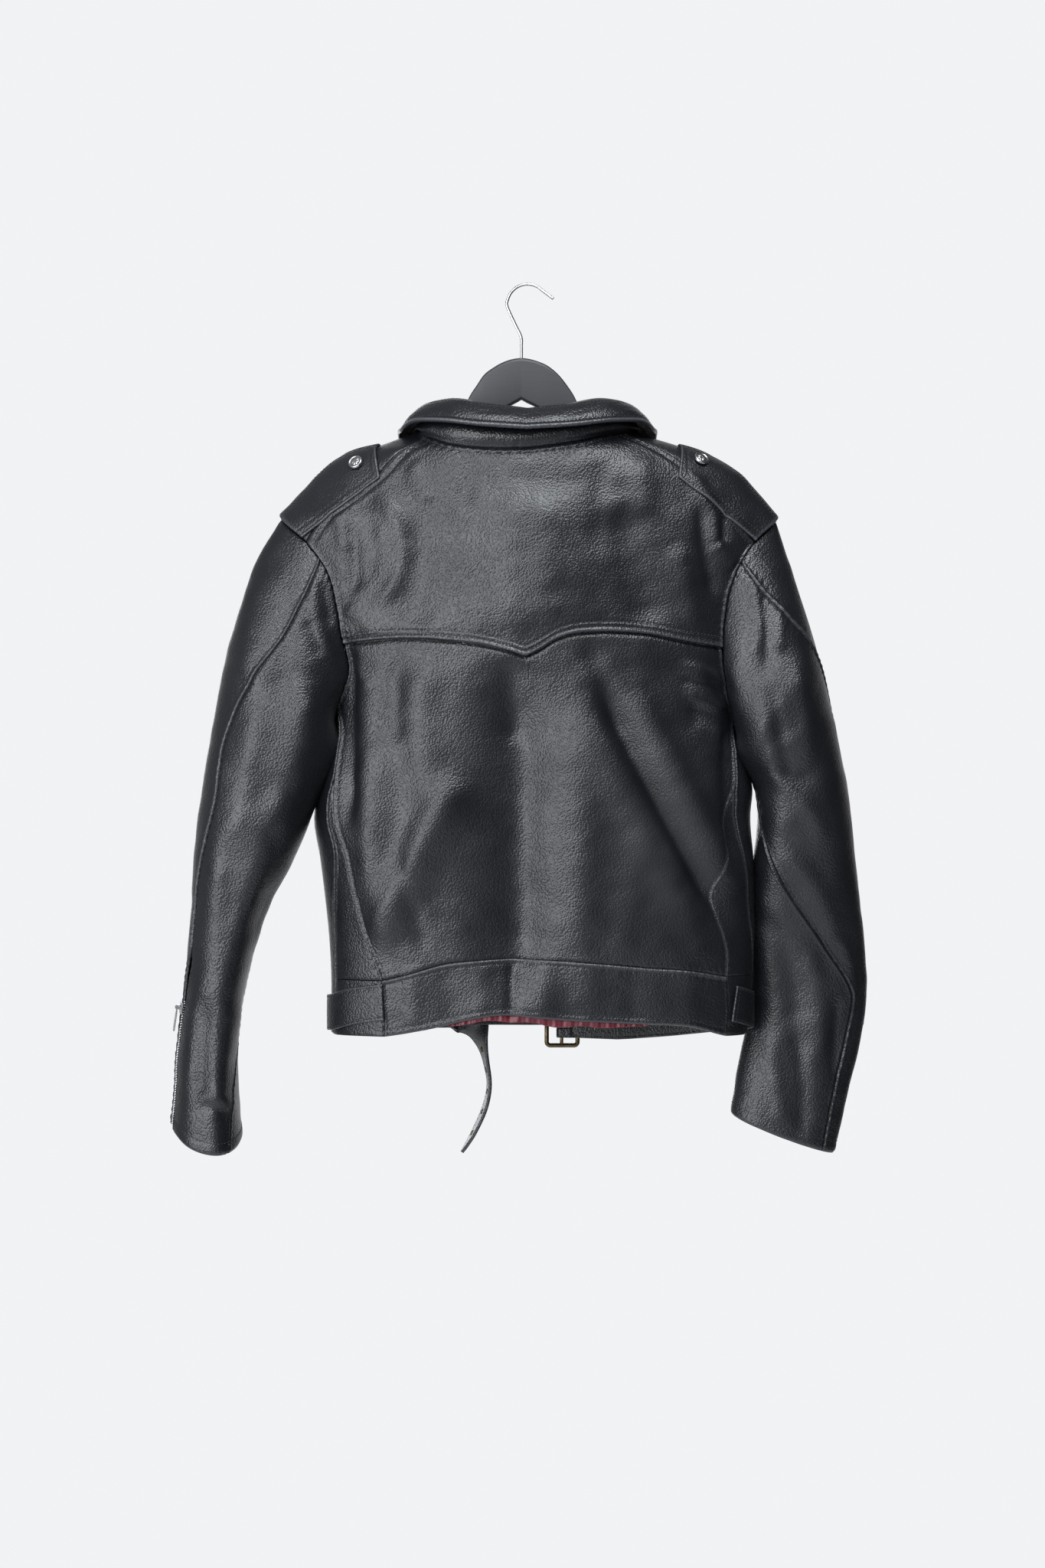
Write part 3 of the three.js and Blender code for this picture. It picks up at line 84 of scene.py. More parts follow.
def mesh_piece(name, points, quads, material, attributes=None):
    """A smooth mesh from points in mm and quads, turned inside out if its volume is negative."""
    corners = points[quads]
    middle = corners.mean(1)
    normal = np.cross(corners[:, 2] - corners[:, 0], corners[:, 3] - corners[:, 1])
    if np.einsum("ij,ij->", middle - points.mean(0), normal) < 0:
        quads = quads[:, ::-1]
    mesh = bpy.data.meshes.new(name)
    mesh.vertices.add(len(points))
    mesh.vertices.foreach_set("co", (points * MM).astype(np.float32).ravel())
    mesh.loops.add(quads.size)
    mesh.loops.foreach_set("vertex_index", quads.astype(np.int32).ravel())
    mesh.polygons.add(len(quads))
    mesh.polygons.foreach_set("loop_start", np.arange(0, quads.size, 4, dtype=np.int32))
    mesh.polygons.foreach_set("use_smooth", np.ones(len(quads), bool))
    mesh.update(calc_edges=True)
    for label, values in (attributes or {}).items():
        layer = mesh.attributes.new(label, "FLOAT", "POINT")
        layer.data.foreach_set("value", values.astype(np.float32).ravel())
    mesh.materials.append(material)
    piece = bpy.data.objects.new(name, mesh)
    bpy.context.scene.collection.objects.link(piece)
    return piece


def material(name, roughness=0.5):
    """A new material of one roughness, with its node tree and its surface shader."""
    made = bpy.data.materials.new(name)
    made.use_nodes = True
    surface = made.node_tree.nodes["Principled BSDF"]
    surface.inputs["Roughness"].default_value = roughness
    return made, made.node_tree, surface


def blend(tree, factor, dark, light):
    """Two colours mixed by a noise."""
    mixed = node(tree, "ShaderNodeMix", {"data_type": "RGBA"}, links={"Factor": (factor, "Fac")})
    mixed.inputs["A"].default_value = linear(dark)
    mixed.inputs["B"].default_value = linear(light)
    return mixed


eye = bpy.data.cameras.new("back_view")
eye.lens = LENS_MM
eye.sensor_fit = "VERTICAL"
eye.sensor_height = FRAME_SIDE_MM
eye.sensor_width = FRAME_SIDE_MM
camera = bpy.data.objects.new("back_view", eye)
camera.location = EYE
camera.rotation_euler = (np.pi / 2, 0, 0)
bpy.context.scene.collection.objects.link(camera)
bpy.context.scene.camera = camera
bpy.context.scene.view_settings.view_transform = "Standard"

room = bpy.data.worlds.new("pale_room")
room.use_nodes = True
tree = room.node_tree
tree.nodes.clear()
sight = node(tree, "ShaderNodeTexCoord")
split = node(tree, "ShaderNodeSeparateXYZ", links={"Vector": (sight, "Generated")})
levels = [node(tree, "ShaderNodeMapRange", {"interpolation_type": "SMOOTHSTEP"},
               {"From Min": start, "From Max": full, "To Min": low, "To Max": high},
               {"Value": (split, axis)}) for axis, start, full, low, high in WALLS]
brighter = {"operation": "MAXIMUM"}
ends = node(tree, "ShaderNodeMath", brighter, links={k: (levels[k], "Result") for k in (0, 1)})
glow = node(tree, "ShaderNodeMath", brighter, links={0: (ends, "Value"), 1: (levels[2], "Result")})
air = node(tree, "ShaderNodeBackground", values={"Color": linear("#f9fafc")},
           links={"Strength": (glow, "Value")})
node(tree, "ShaderNodeOutputWorld", links={"Surface": (air, "Background")})
bpy.context.scene.world = room

for lamp_name, place, size, watts in LAMPS:
    lamp = bpy.data.lights.new(lamp_name, "AREA")
    lamp.shape = "DISK"
    lamp.size = size
    lamp.energy = watts
    lamp.color = LAMP_TINT
    holder = bpy.data.objects.new(lamp_name, lamp)
    holder.location = place
    x, y, z = LAMP_AIM - place
    holder.rotation_euler = (np.arctan2(np.hypot(x, y), -z), 0, np.arctan2(y, x) - np.pi / 2)
    bpy.context.scene.collection.objects.link(holder)

plaster, tree, paint = material("pale_painted_floor", 0.7)
speckle = node(tree, "ShaderNodeTexNoise", values={"Scale": 9.0, "Detail": 3.0})
tree.links.new(blend(tree, speckle, "#e6e7e9", "#eeeff0").outputs["Result"], paint.inputs["Base Color"])
spokes, hoops = np.meshgrid(np.linspace(0, 2 * np.pi, FLOOR_SPOKES),
                            np.linspace(FLOOR_HOLE, 1, FLOOR_HOOPS), indexing="ij")
floor_points = np.stack([FLOOR_RADIUS * hoops * np.cos(spokes), FLOOR_RADIUS * hoops * np.sin(spokes),
                         np.full_like(hoops, FLOOR_Z)], -1)
floor_ids = np.arange(hoops.size).reshape(hoops.shape)
floor = mesh_piece("studio_floor", floor_points.reshape(-1, 3), grid_faces(floor_ids)[:, ::-1], plaster)

# ------------------------------------------------------------------ leather
# Black pigmented cowhide with a pebbled grain, semi-gloss, bought by the hide. Its pebbles are
# about 2 mm across. Along seams and folded edges its colour is painted grey, partly as rubbed wear
# and partly as a painted highlight on the raised edges. It is dull where it is scuffed.
GRAIN_MM = 1.9
GRAIN_DEPTH = 0.46
GRAIN_SHIFT = 0.9
SHIFT_MM = 5.0
PORE_MM = 1.1
CLOUD_MM = 55.0
FINE_DEPTH = 0.12
SCRATCH_SLANT = np.radians(-32)


def noise(tree, size_mm, detail):
    """Soft noise in the object's own space, its blotches about this wide."""
    place = node(tree, "ShaderNodeTexCoord")
    return node(tree, "ShaderNodeTexNoise", values={"Scale": 1000 / size_mm, "Detail": detail},
                links={"Vector": (place, "Object")})


def ranged(tree, factor, low, high):
    """The middle of a noise, 0.3 to 0.7, spread from one value to another."""
    return node(tree, "ShaderNodeMapRange", links={"Value": (factor, "Fac")},
                values={"From Min": 0.3, "From Max": 0.7, "To Min": low, "To Max": high})


hide, tree, skin = material("pigmented_cowhide")
place = node(tree, "ShaderNodeTexCoord")
wear_highlight_mask, matt = (node(tree, "ShaderNodeAttribute", {"attribute_name": label}) for label in ("wear_and_highlight", "matt"))
warp, pores, cloud = noise(tree, SHIFT_MM, 1.0), noise(tree, PORE_MM, 2.0), noise(tree, CLOUD_MM, 2.0)
# The pebbles are uneven, so each point is pushed about by a soft noise first.
shift = node(tree, "ShaderNodeVectorMath", {"operation": "SCALE"}, {"Scale": GRAIN_SHIFT * MM},
             {"Vector": (warp, "Color")})
moved = node(tree, "ShaderNodeVectorMath", {"operation": "ADD"},
             links={0: (place, "Object"), 1: (shift, "Vector")})
pebble = node(tree, "ShaderNodeTexVoronoi", {"feature": "SMOOTH_F1"},
              {"Scale": 1000 / GRAIN_MM, "Smoothness": 0.35}, {"Vector": (moved, "Vector")})
# Fine scratches: a noise drawn out twenty-fold on a slant, only where the hide has gone matt.
slant = node(tree, "ShaderNodeMapping", links={"Vector": (place, "Object")},
             values={"Rotation": (0, SCRATCH_SLANT, 0), "Scale": (900, 300, 45)})
scratch = node(tree, "ShaderNodeTexNoise", values={"Scale": 1.0, "Detail": 1.0},
               links={"Vector": (slant, "Vector")})
smoothed = node(tree, "ShaderNodeMath", {"operation": "MULTIPLY_ADD"}, {1: -0.75, 2: 1.0},
                {0: (matt, "Fac")})
depth = node(tree, "ShaderNodeMath", {"operation": "MULTIPLY"},
             links={0: (ranged(tree, cloud, 0.75, 1.1), "Result"), 1: (smoothed, "Value")})
pebbled = node(tree, "ShaderNodeBump", {"invert": True}, {"Distance": GRAIN_DEPTH * MM},
               {"Height": (pebble, "Distance"), "Strength": (depth, "Value")})
fine = node(tree, "ShaderNodeBump", values={"Strength": 0.3, "Distance": FINE_DEPTH * MM},
            links={"Height": (pores, "Fac"), "Normal": (pebbled, "Normal")})
scored = node(tree, "ShaderNodeBump", values={"Distance": FINE_DEPTH * MM},
              links={"Height": (scratch, "Fac"), "Strength": (matt, "Fac"), "Normal": (fine, "Normal")})
# Towards the edges the colour goes to a light grey: a painted highlight on raised seams and edges, and rubbed
# wear.
worn_and_highlit_colour = node(tree, "ShaderNodeMix", {"data_type": "RGBA"},
              links={"Factor": (wear_highlight_mask, "Fac"), "A": (blend(tree, cloud, "#0f1013", "#17181c"), "Result")})
worn_and_highlit_colour.inputs["B"].default_value = linear("#45464b")
dulled = node(tree, "ShaderNodeMath", {"operation": "MULTIPLY_ADD"}, {1: 0.12},
              {0: (matt, "Fac"), 2: (ranged(tree, cloud, 0.31, 0.4), "Result")})
tree.links.new(worn_and_highlit_colour.outputs["Result"], skin.inputs["Base Color"])
tree.links.new(dulled.outputs["Value"], skin.inputs["Roughness"])
tree.links.new(scored.outputs["Normal"], skin.inputs["Normal"])
skin.inputs["IOR"].default_value = 1.5

# Black bonded polyester thread: a soft sheen a little brighter than the hide it lies in.
thread, tree, strand = material("bonded_polyester_thread", 0.55)
twist = blend(tree, noise(tree, 0.6, 1.0), "#0c0c0e", "#242529")
tree.links.new(twist.outputs["Result"], strand.inputs["Base Color"])

# ------------------------------------------------------------------ back
# Three pieces of hide: a yoke that ends in a shallow V, the lower back, and the waistband.
# The yoke is lapped over the lower back and topstitched twice, the band is folded up double.
HIDE = 2.0
HEM = -750.0
SIDE_NAMES = {-1: "left", 1: "right"}


def ease(t):
    """Smooth step from 0 to 1: three squares less two cubes."""
    t = np.clip(t, 0, 1)
    return t * t * (3 - 2 * t)


def mix(a, b, t):
    """Straight from a to b."""
    return a + (b - a) * t


def sin(degrees):
    """Sine of an angle in degrees."""
    return np.sin(np.radians(degrees))


def cos(degrees):
    """Cosine of an angle in degrees."""
    return np.cos(np.radians(degrees))


def smooth(rows, column):
    """A curve through a table: cubic pieces whose slope at a row is the mean of the chords beside
    it, each weighted by the other's width, as a function of whole arrays."""
    data = np.array(sorted(rows, key=lambda row: row[0]), float)
    xs, ys = data[:, 0], data[:, column]
    width = np.diff(xs)
    chord = np.diff(ys) / width
    inner = (chord[:-1] * width[1:] + chord[1:] * width[:-1]) / (width[:-1] + width[1:])
    slope = np.concatenate([chord[:1], inner, chord[-1:]])

    def at(x):
        x = np.clip(x, xs[0], xs[-1])
        i = np.clip(np.searchsorted(xs, x, side="left") - 1, 0, len(width) - 1)
        t = (x - xs[i]) / width[i]
        bend = t * (1 - t) * width[i] * ((1 - t) * (slope[i] - chord[i]) - t * (slope[i + 1] - chord[i]))
        return mix(ys[i], ys[i + 1], t) + bend
    return at


# Height; half widths left and right; depths behind and in front; pinch of the sides; squareness.
SECTIONS = [
    (-130, 76, 76, 30, 24, 1.3, 0), (-141, 103, 101, 40, 30, 1.3, 0), (-149, 124, 122, 48, 35, 1.3, 0),
    (-156, 143, 145, 53, 38, 1.3, 0), (-163, 167, 165, 57, 40, 1.3, 0), (-172, 185, 184, 60, 42, 1.3, 0),
    (-186, 202, 206, 63, 44, 1.3, 0), (-200, 215, 219, 65, 46, 1.3, 0), (-215, 229, 232, 67, 47, 1.3, 0),
    (-230, 242, 243, 69, 48, 1.3, 0), (-250, 243, 246, 71, 49, 1.28, 0), (-280, 233, 240, 74, 50, 1.25, 0),
    (-310, 222, 230, 76, 51, 1.2, 0), (-350, 206, 217, 79, 52, 1.1, 0), (-390, 193, 207, 80, 53, 1, 0),
    (-430, 189, 203, 80, 54, 1, 0.1), (-460, 196, 212, 80, 54, 1, 0.2), (-490, 204, 220, 79, 55, 1, 0.25),
    (-520, 209, 218, 79, 55, 1, 0.25), (-560, 203, 221, 78, 55, 1, 0.25), (-600, 198, 222, 76, 54, 1, 0.25),
    (-640, 194, 222, 75, 53, 1, 0.25), (-680, 192, 220, 73, 52, 1, 0.25), (-715, 192, 217, 71, 51, 1, 0.25),
    (HEM, 191, 208, 69, 50, 1, 0.25),
]
half_left, half_right, deep_back, deep_front, lens, square = (smooth(SECTIONS, k) for k in range(1, 7))

# Folds: from x0 z0 to x1 z1, half width, height (a valley is negative) and sideways bow.
BACK_FOLDS = [
    (8, -210, 8, -335, 52, 7, 0), (-100, -225, -112, -335, 20, -4, 0), (90, -230, 120, -330, 22, -5, 0),
    (-176, -358, -174, -515, 9, -9, 0), (-152, -395, -150, -600, 16, 6, 0),
    (-70, -490, -140, -632, 19, 10, 0), (-10, -400, -13, -672, 40, -15, 0),
    (-10, -430, -11, -668, 20, -3, 0), (48, -385, 50, -650, 28, 4, 0), (80, -415, 186, -606, 11, -13, 0),
    (104, -405, 200, -580, 13, 6, 0), (58, -430, 150, -606, 18, 5, 0), (160, -378, 188, -440, 12, 5, 0),
    (196, -430, 198, -560, 10, -6, 0), (-100, -378, -90, -500, 18, 4, -8),
    (-18, -372, -16, -445, 14, -4, 0),
    # wrinkles that hug the left armhole under the epaulette
    (-187, -226, -176, -260, 7, 2.4, 3), (-174, -238, -171, -302, 8, -3.4, 4),
    (-160, -225, -156, -292, 11, -2, 6), (-143, -208, -137, -310, 9, 2.8, 20),
    (-172, -316, -148, -342, 9, 2, 0),
    # and the right one
    (158, -190, 182, -257, 7, 3.4, 6), (182, -257, 199, -276, 7, 3, 0), (170, -222, 181, -302, 8, -4, -2),
    (191, -226, 190, -252, 5, -2.4, 0), (110, -172, 112, -226, 14, 2.6, 0), (146, -262, 162, -336, 12, 3, 0),
    (72, -180, 66, -262, 11, -1.6, 0), (-52, -172, -66, -240, 10, -1.6, 0), (-110, -178, -96, -214, 9, 2, -4),
    # lower back
    (-128, -372, -130, -442, 10, -2.2, 0), (58, -358, 92, -432, 11, -3, 0),
    (-120, -560, -100, -650, 9, -2, 0), (110, -540, 90, -655, 15, 2, 0), (150, -590, 168, -655, 13, 1.8, 0),
    # crumples beside the right armpit
    (150, -372, 188, -390, 5, 2, 3), (150, -388, 190, -402, 4.4, -2.2, 2), (153, -400, 190, -414, 5, 2.2, -2),
    (158, -416, 190, -434, 5, -2.2, 2), (163, -432, 192, -455, 6, 2, 2), (-172, -372, -150, -392, 6, 1.8, 0),
    # waistband
    (-17, -660, -16, -712, 6, -3, 0), (-78, -662, -73, -718, 14, -2.4, 0), (-45, -660, -44, -713, 12, 1.6, 0),
    (12, -658, 14, -712, 16, 2.4, 0), (62, -662, 65, -716, 16, 1.6, 0), (102, -664, 100, -718, 11, -1.2, 0),
    (155, -668, 157, -724, 12, 2, 0), (-112, -668, -110, -722, 10, 1.8, 0),
]
# The front is seen from the other side, its x runs the same way.
FRONT_FOLDS = [
    (-120, -260, -150, -420, 14, 3.5, -10), (-90, -300, -60, -460, 12, -3, 8),
    (-110, -470, -150, -640, 14, 4, 0), (-60, -480, -90, -690, 12, -3.5, 8),
    (120, -250, 158, -410, 14, 3.5, 8), (90, -330, 120, -470, 12, -3, 0), (110, -470, 160, -620, 14, 4, 0),
    (70, -500, 100, -700, 13, -3.5, 0), (-165, -430, -120, -520, 10, 3, 0),
    (175, -430, 130, -520, 10, 3, 0), (-25, -560, -30, -700, 10, 2.5, 0), (60, -450, 56, -620, 10, 2.5, 0),
]


def folds(table, x, z):
    """Sum of soft ridges: each is a bell across its own bowed line, faded out at both ends."""
    total = np.zeros(np.broadcast(x, z).shape)
    for x0, z0, x1, z1, width, height, bow in table:
        dx, dz = x1 - x0, z1 - z0
        length = np.hypot(dx, dz)
        along = ((x - x0) * dx + (z - z0) * dz) / length ** 2
        across = ((z - z0) * dx - (x - x0) * dz) / length - bow * 4 * along * (1 - along)
        ends = ease((along + 0.15) / 0.3) * ease((1.15 - along) / 0.3)
        total += height * np.exp(-(across / width) ** 2) * ends
    return total


chance = np.random.default_rng(7)
WAVES = [(chance.uniform(18, 55), chance.uniform(0, np.pi), chance.uniform(0, 6.28)) for _ in range(14)]


def ripple(x, z):
    """Low uneven swell of soft hide: fourteen shallow sine waves that run in all directions."""
    total = np.zeros(np.broadcast(x, z).shape)
    for pitch, way, start in WAVES:
        total += 0.0022 * pitch * np.sin(2 * np.pi * (x * np.cos(way) + z * np.sin(way)) / pitch + start)
    return total


def body(phi, z):
    """The jacket's body as a tube: an ellipse of its own half widths and depths at each height,
    its sides pinched or squared, with the folds of its back or front moved out along it."""
    left, right = half_left(z), half_right(z)
    s, c = sin(phi), cos(phi)
    deep = np.where(c >= 0, deep_back(z), deep_front(z))
    swell = np.abs(c) ** lens(z) * (1 + square(z) * s * s)
    x = (right - left) / 2 + (left + right) / 2 * s
    fold = np.where(c > 0, folds(BACK_FOLDS, x, z), folds(FRONT_FOLDS, x, z)) + ripple(x, z)
    fold = fold * ease(np.abs(c) * 2.2)
    drift = -4 * ease((-230 - z) / 370)
    return np.stack([x + s * fold, drift - np.sign(c) * deep * swell - c * fold, z + 0 * c], -1)


def reach(x, z):
    """Sine of the angle at which the tube has this x."""
    return np.clip((x - (half_right(z) - half_left(z)) / 2) / ((half_left(z) + half_right(z)) / 2), -1, 1)


def back_angle(x, z):
    """Angle of a point seen from behind."""
    return np.degrees(np.arcsin(reach(x, z)))


def front_angle(x, z, side):
    """Angle of a point seen from the front, on its own side."""
    return side * 180 - np.degrees(np.arcsin(reach(x, z)))


def spot(phi, z):
    """Angle and height as one array."""
    phi, z = np.broadcast_arrays(phi, z)
    return np.stack([phi, z], -1).astype(float)


def seen(x, z):
    """The spot of a point seen from behind."""
    return spot(back_angle(x, z), z)


# Armholes: a loop whose turn is 0 at the shoulder tip, 90 on the back and 180 at the armpit.
ARMHOLES = {-1: (-328.5, 99.5), 1: (-335.5, 104.5)}
arm_angle = smooth([(-20, 76), (0, 90), (20, 76), (40, 63), (60, 57.5), (80, 57.5), (100, 61), (120, 67),
                    (140, 76), (160, 84.5), (180, 90), (200, 84.5)], 1)


def armhole(side, turn):
    """A point of the armhole: its height by the cosine of the turn, its angle from the table."""
    whole = np.mod(turn, 360)
    middle, half = ARMHOLES[side]
    flat = arm_angle(np.where(whole > 180, 360 - whole, whole))
    return spot(side * np.where(whole > 180, 180 - flat, flat), middle + half * cos(whole))


def on_line(rows, column):
    """A seam that runs down: its angle by its height."""
    angle = smooth(rows, column)
    side = -1 if column == 1 else 1
    return lambda z: spot(side * angle(z), z)


def across_back(rows):
    """A seam that runs across the back: its height by x."""
    height = smooth(rows, 1)
    return lambda x: seen(x, height(x))


neck_height = smooth([
    (-158, -170), (-150, -164), (-130, -152), (-105, -142), (-90, -140), (-75, -141.5), (-53, -149),
    (-40, -154), (-30, -158.5), (-20, -161.5), (-10, -163.3), (0, -162.8), (10, -159.5), (20, -155.5),
    (30, -151.5), (40, -148.5), (57, -145.5), (75, -141.5), (90, -140), (105, -142), (130, -152),
    (150, -164), (158, -170)], 1)
SHOULDER = [(-146, 54, 56.5), (-157, 49, 53.5), (-165, 46.5, 52.7), (-181, 45.5, 52.1), (-198, 48, 52),
            (-215, 52, 52.7), (-233, 57, 56.2), (-253, 63.2, 63.2)]
SIDE_BACK = [(-413, 79.7, 83), (-426, 77.6, 80.7), (-440, 75, 78.6), (-456, 72.6, 74.8), (-470, 70.5, 71.6),
             (-497, 67, 66.8), (-525, 63.5, 63.4), (-556, 60.5, 61), (-590, 58.5, 58), (-621, 56, 59.4),
             (-650, 52.7, 63.8), (-678, 48.4, 65), (-742, 46.5, 65.5)]
SIDE = [(-480, 69.2, 66.6), (-497, 69.3, 68), (-519, 68, 69.4), (-556, 66.6, 71.4), (-574, 68.4, 72.4),
        (-616, 72.9, 75.4), (-655, 75.4, 82), (-742, 77, 84)]
SIDES = {-1: 1, 1: 2}  # each side with its column in the seam tables
shoulder_seam, side_back_seam, side_seam = (
    {side: on_line(rows, column) for side, column in SIDES.items()} for rows in (SHOULDER, SIDE_BACK, SIDE))
yoke_left = across_back([(-182, -352), (-148, -349), (-113, -348), (-81, -350), (-46, -354),
                         (-17, -361), (-2, -366)])
yoke_right = across_back([(-2, -366), (10, -360), (26, -350), (39, -345), (61, -342), (93, -342), (120, -344),
                          (146, -349), (191, -356)])
waist_seam = across_back([(-141, -678), (-110, -670), (-83, -662), (-50, -658), (-17, -656), (30, -658),
                          (70, -661), (113, -665), (155, -668), (196, -675)])
back_hem = across_back([(-188, -738), (-136, -732), (-101, -726), (-58, -716), (-17, -711), (0, -713),
                        (22, -715), (113, -720), (156, -723), (194, -733), (215, -737)])


def arm_turn(side, z):
    """Turn of the armhole's back half at a height."""
    middle, half = ARMHOLES[side]
    return 90 - np.degrees(np.arcsin(np.clip((z - middle) / half, -1, 1)))


SHOULDER_END = -253.0
GUSSET_TOP = {-1: -480.0, 1: -494.0}
GUSSET_START = {side: top - 14 for side, top in GUSSET_TOP.items()}
TURN_SHOULDER = {side: arm_turn(side, SHOULDER_END) for side in SIDES}
TURN_YOKE = {-1: 103.7, 1: 101.3}
TURN_SIDE_BACK = {-1: 148.0, 1: 150.0}


def edge(*parts):
    """An edge of a panel: seam lines that follow each other, each with its share of the length."""
    ends = np.cumsum([0] + [share for share, _ in parts])
    ends = ends / ends[-1]

    def at(t):
        t = np.asarray(t, float)
        out = parts[0][1](np.clip(t / ends[1], 0, 1))
        for k, (_, line) in enumerate(parts[1:], 1):
            local = np.clip((t - ends[k]) / (ends[k + 1] - ends[k]), 0, 1)
            out = np.where((t > ends[k])[..., None], line(local), out)
        return out
    return at


def between(p, q):
    """Straight from one spot to another."""
    return lambda t: mix(np.asarray(p, float), np.asarray(q, float), np.asarray(t, float)[..., None])


def stretch(seam, first, last):
    """Part of a seam, from one of its heights to another, or from one x to another."""
    return lambda t: seam(mix(first, last, t))


def pinned(line, start, end):
    """A line moved a little so that it ends exactly at two spots."""
    miss = between(start - line(np.array(0.0)), end - line(np.array(1.0)))
    return lambda t: line(t) + miss(t)


def at(line, t):
    """One spot of a line."""
    return line(np.array(float(t)))


def dense(count, fine=0.72):
    """Grid parameters from 0 to 1, closer together towards both ends."""
    s = np.linspace(0, 1, count)
    return mix(s, (1 - np.cos(np.pi * s)) / 2, fine)


def run(points, axis):
    """Distance travelled along a grid's lines, from their start."""
    step = np.linalg.norm(np.diff(points, axis=axis), axis=-1)
    pad = [(0, 0), (0, 0)]
    pad[axis] = (1, 0)
    return np.pad(np.cumsum(step, axis=axis), pad)


def unit(vectors):
    """Vectors of length one."""
    return vectors / np.maximum(np.linalg.norm(vectors, axis=-1, keepdims=True), 1e-9)


def outward(points, flip):
    """Normals of a grid: the cross product of its two directions, towards the outside."""
    return unit(np.cross(np.gradient(points, axis=1), np.gradient(points, axis=0))) * flip


def patch(left, right, top, bottom, gaps, cols, rows):
    """Spots of a patch between four edges: each pair mixed straight, less the mix of the corners.
    Its outline is drawn in by a gap in mm on each side, or out where the gap is negative."""
    u, v = dense(cols)[None, :], dense(rows)[:, None]
    corners = [at(top, 0), at(top, 1), at(bottom, 0), at(bottom, 1)]

    def spots(u, v):
        u, v = np.broadcast_arrays(u, v)
        tu, bu, lv, rv = top(u), bottom(u), left(v), right(v)
        u, v = u[..., None], v[..., None]
        flat = mix(mix(corners[0], corners[1], u), mix(corners[2], corners[3], u), v)
        return mix(lv, rv, u) + mix(tu, bu, v) - flat

    rough = spots(u, v)
    grid = body(rough[..., 0], rough[..., 1])
    wide = np.maximum(run(grid, 1)[:, -1:], 2.5)
    tall = np.maximum(run(grid, 0)[-1:, :], 2.5)
    inset_u = mix(gaps[0] / wide, 1 - gaps[1] / wide, u)
    inset_v = mix(gaps[2] / tall, 1 - gaps[3] / tall, v)
    final = spots(inset_u, inset_v)
    return body(final[..., 0], final[..., 1])


# Relief of a seam or an edge, in mm, by the distance d from it.
def rounded(d, radius=1.1):
    """The edge of a folded piece: a quarter circle down to the rim."""
    return np.sqrt(np.maximum(radius ** 2 - np.maximum(radius - d, 0) ** 2, 0)) - radius


def roll(d, height=1.0, at=2.2, width=1.7):
    """The turned-in layer under an edge: a bell a little way in."""
    return height * np.exp(-((d - at) / width) ** 2)


def turned(d, height, at, width, radius=1.1):
    """A turned-in edge: its rim rounded off and its inner layer felt a little way in."""
    return rounded(d, radius) + roll(d, height, at, width)


def worn_and_highlit_edge(d, share, at=1.6, width=1.0):
    """How grey an edge is painted, as rubbed wear and as a painted highlight on the raised edge: a share,
    most a little way in.
    """
    return share * roll(d, 1, at, width)


def both(face, relief):
    """The same relief at a piece's left and right edges."""
    return relief(face.left) + relief(face.right)


def groove(d, at=5.0, depth=0.45, width=0.9):
    """A row of stitches pulls the hide in: a narrow trough."""
    return -depth * np.exp(-((d - at) / width) ** 2)


def tucked(d, depth=1.0, width=2.2):
    """A piece that goes under its neighbour dips towards the seam."""
    return -depth * np.exp(-(d / width) ** 2)


def pucker(d, s, height=0.3, pitch=7.0, away=6.0):
    """Thread tension gathers the hide: short waves square to the seam that die away from it."""
    wobble = np.sin(s / 23.0) * 2.2
    return height * np.exp(-(d / away) ** 2) * np.sin(2 * np.pi * s / pitch + wobble)


class Face:
    """The outer face of a piece: its grid of points, and each point's distance to its edges."""

    def __init__(self, base, inside=None):
        centre = base * [0, 0, 1] if inside is None else inside
        self.base, normal = base, outward(base, 1)
        self.flip = np.sign((normal * (base - centre)).sum())
        self.normal = normal * self.flip
        self.u, self.v = run(base, 1), run(base, 0)
        self.left, self.top = self.u, self.v
        self.right, self.bottom = self.u[:, -1:] - self.u, self.v[-1:, :] - self.v
        self.face = base

    def shape(self, relief, lift=0.0):
        """Moves the face out along its normals."""
        self.face = self.base + self.normal * (lift + relief)[..., None]

    def inner(self, depth):
        """The back of the wall, this far under the smooth face."""
        return self.base - self.normal * depth

    def cut(self):
        """Flat size of the cut piece: its widest row, its longest column and its area, in metres."""
        steps = np.cross(np.diff(self.base, axis=0)[:, :-1], np.diff(self.base, axis=1)[:-1])
        area = np.linalg.norm(steps, axis=-1).sum() * MM ** 2
        wide, tall = self.u[:, -1].max() * MM, self.v[-1].max() * MM
        return wide, tall, min(area, wide * tall)

    def line(self, side, inset, first=0.0, last=1.0):
        """Points and normals of the face at one distance in from an edge."""
        far = getattr(self, side)
        points, normals = self.face, outward(self.face, self.flip)
        if side in ("left", "right"):
            far, points, normals = far.T, points.swapaxes(0, 1), normals.swapaxes(0, 1)
        if side in ("bottom", "right"):
            far, points, normals = far[::-1], points[::-1], normals[::-1]
        k = np.clip(np.argmax(far > inset, axis=0), 1, len(far) - 1)
        c = np.arange(far.shape[1])
        t = ((inset - far[k - 1, c]) / np.maximum(far[k, c] - far[k - 1, c], 1e-6))[:, None]
        keep = slice(int(first * len(c)), int(np.ceil(last * len(c))))
        return (mix(points[k - 1, c], points[k, c], t)[keep], mix(normals[k - 1, c], normals[k, c], t)[keep])


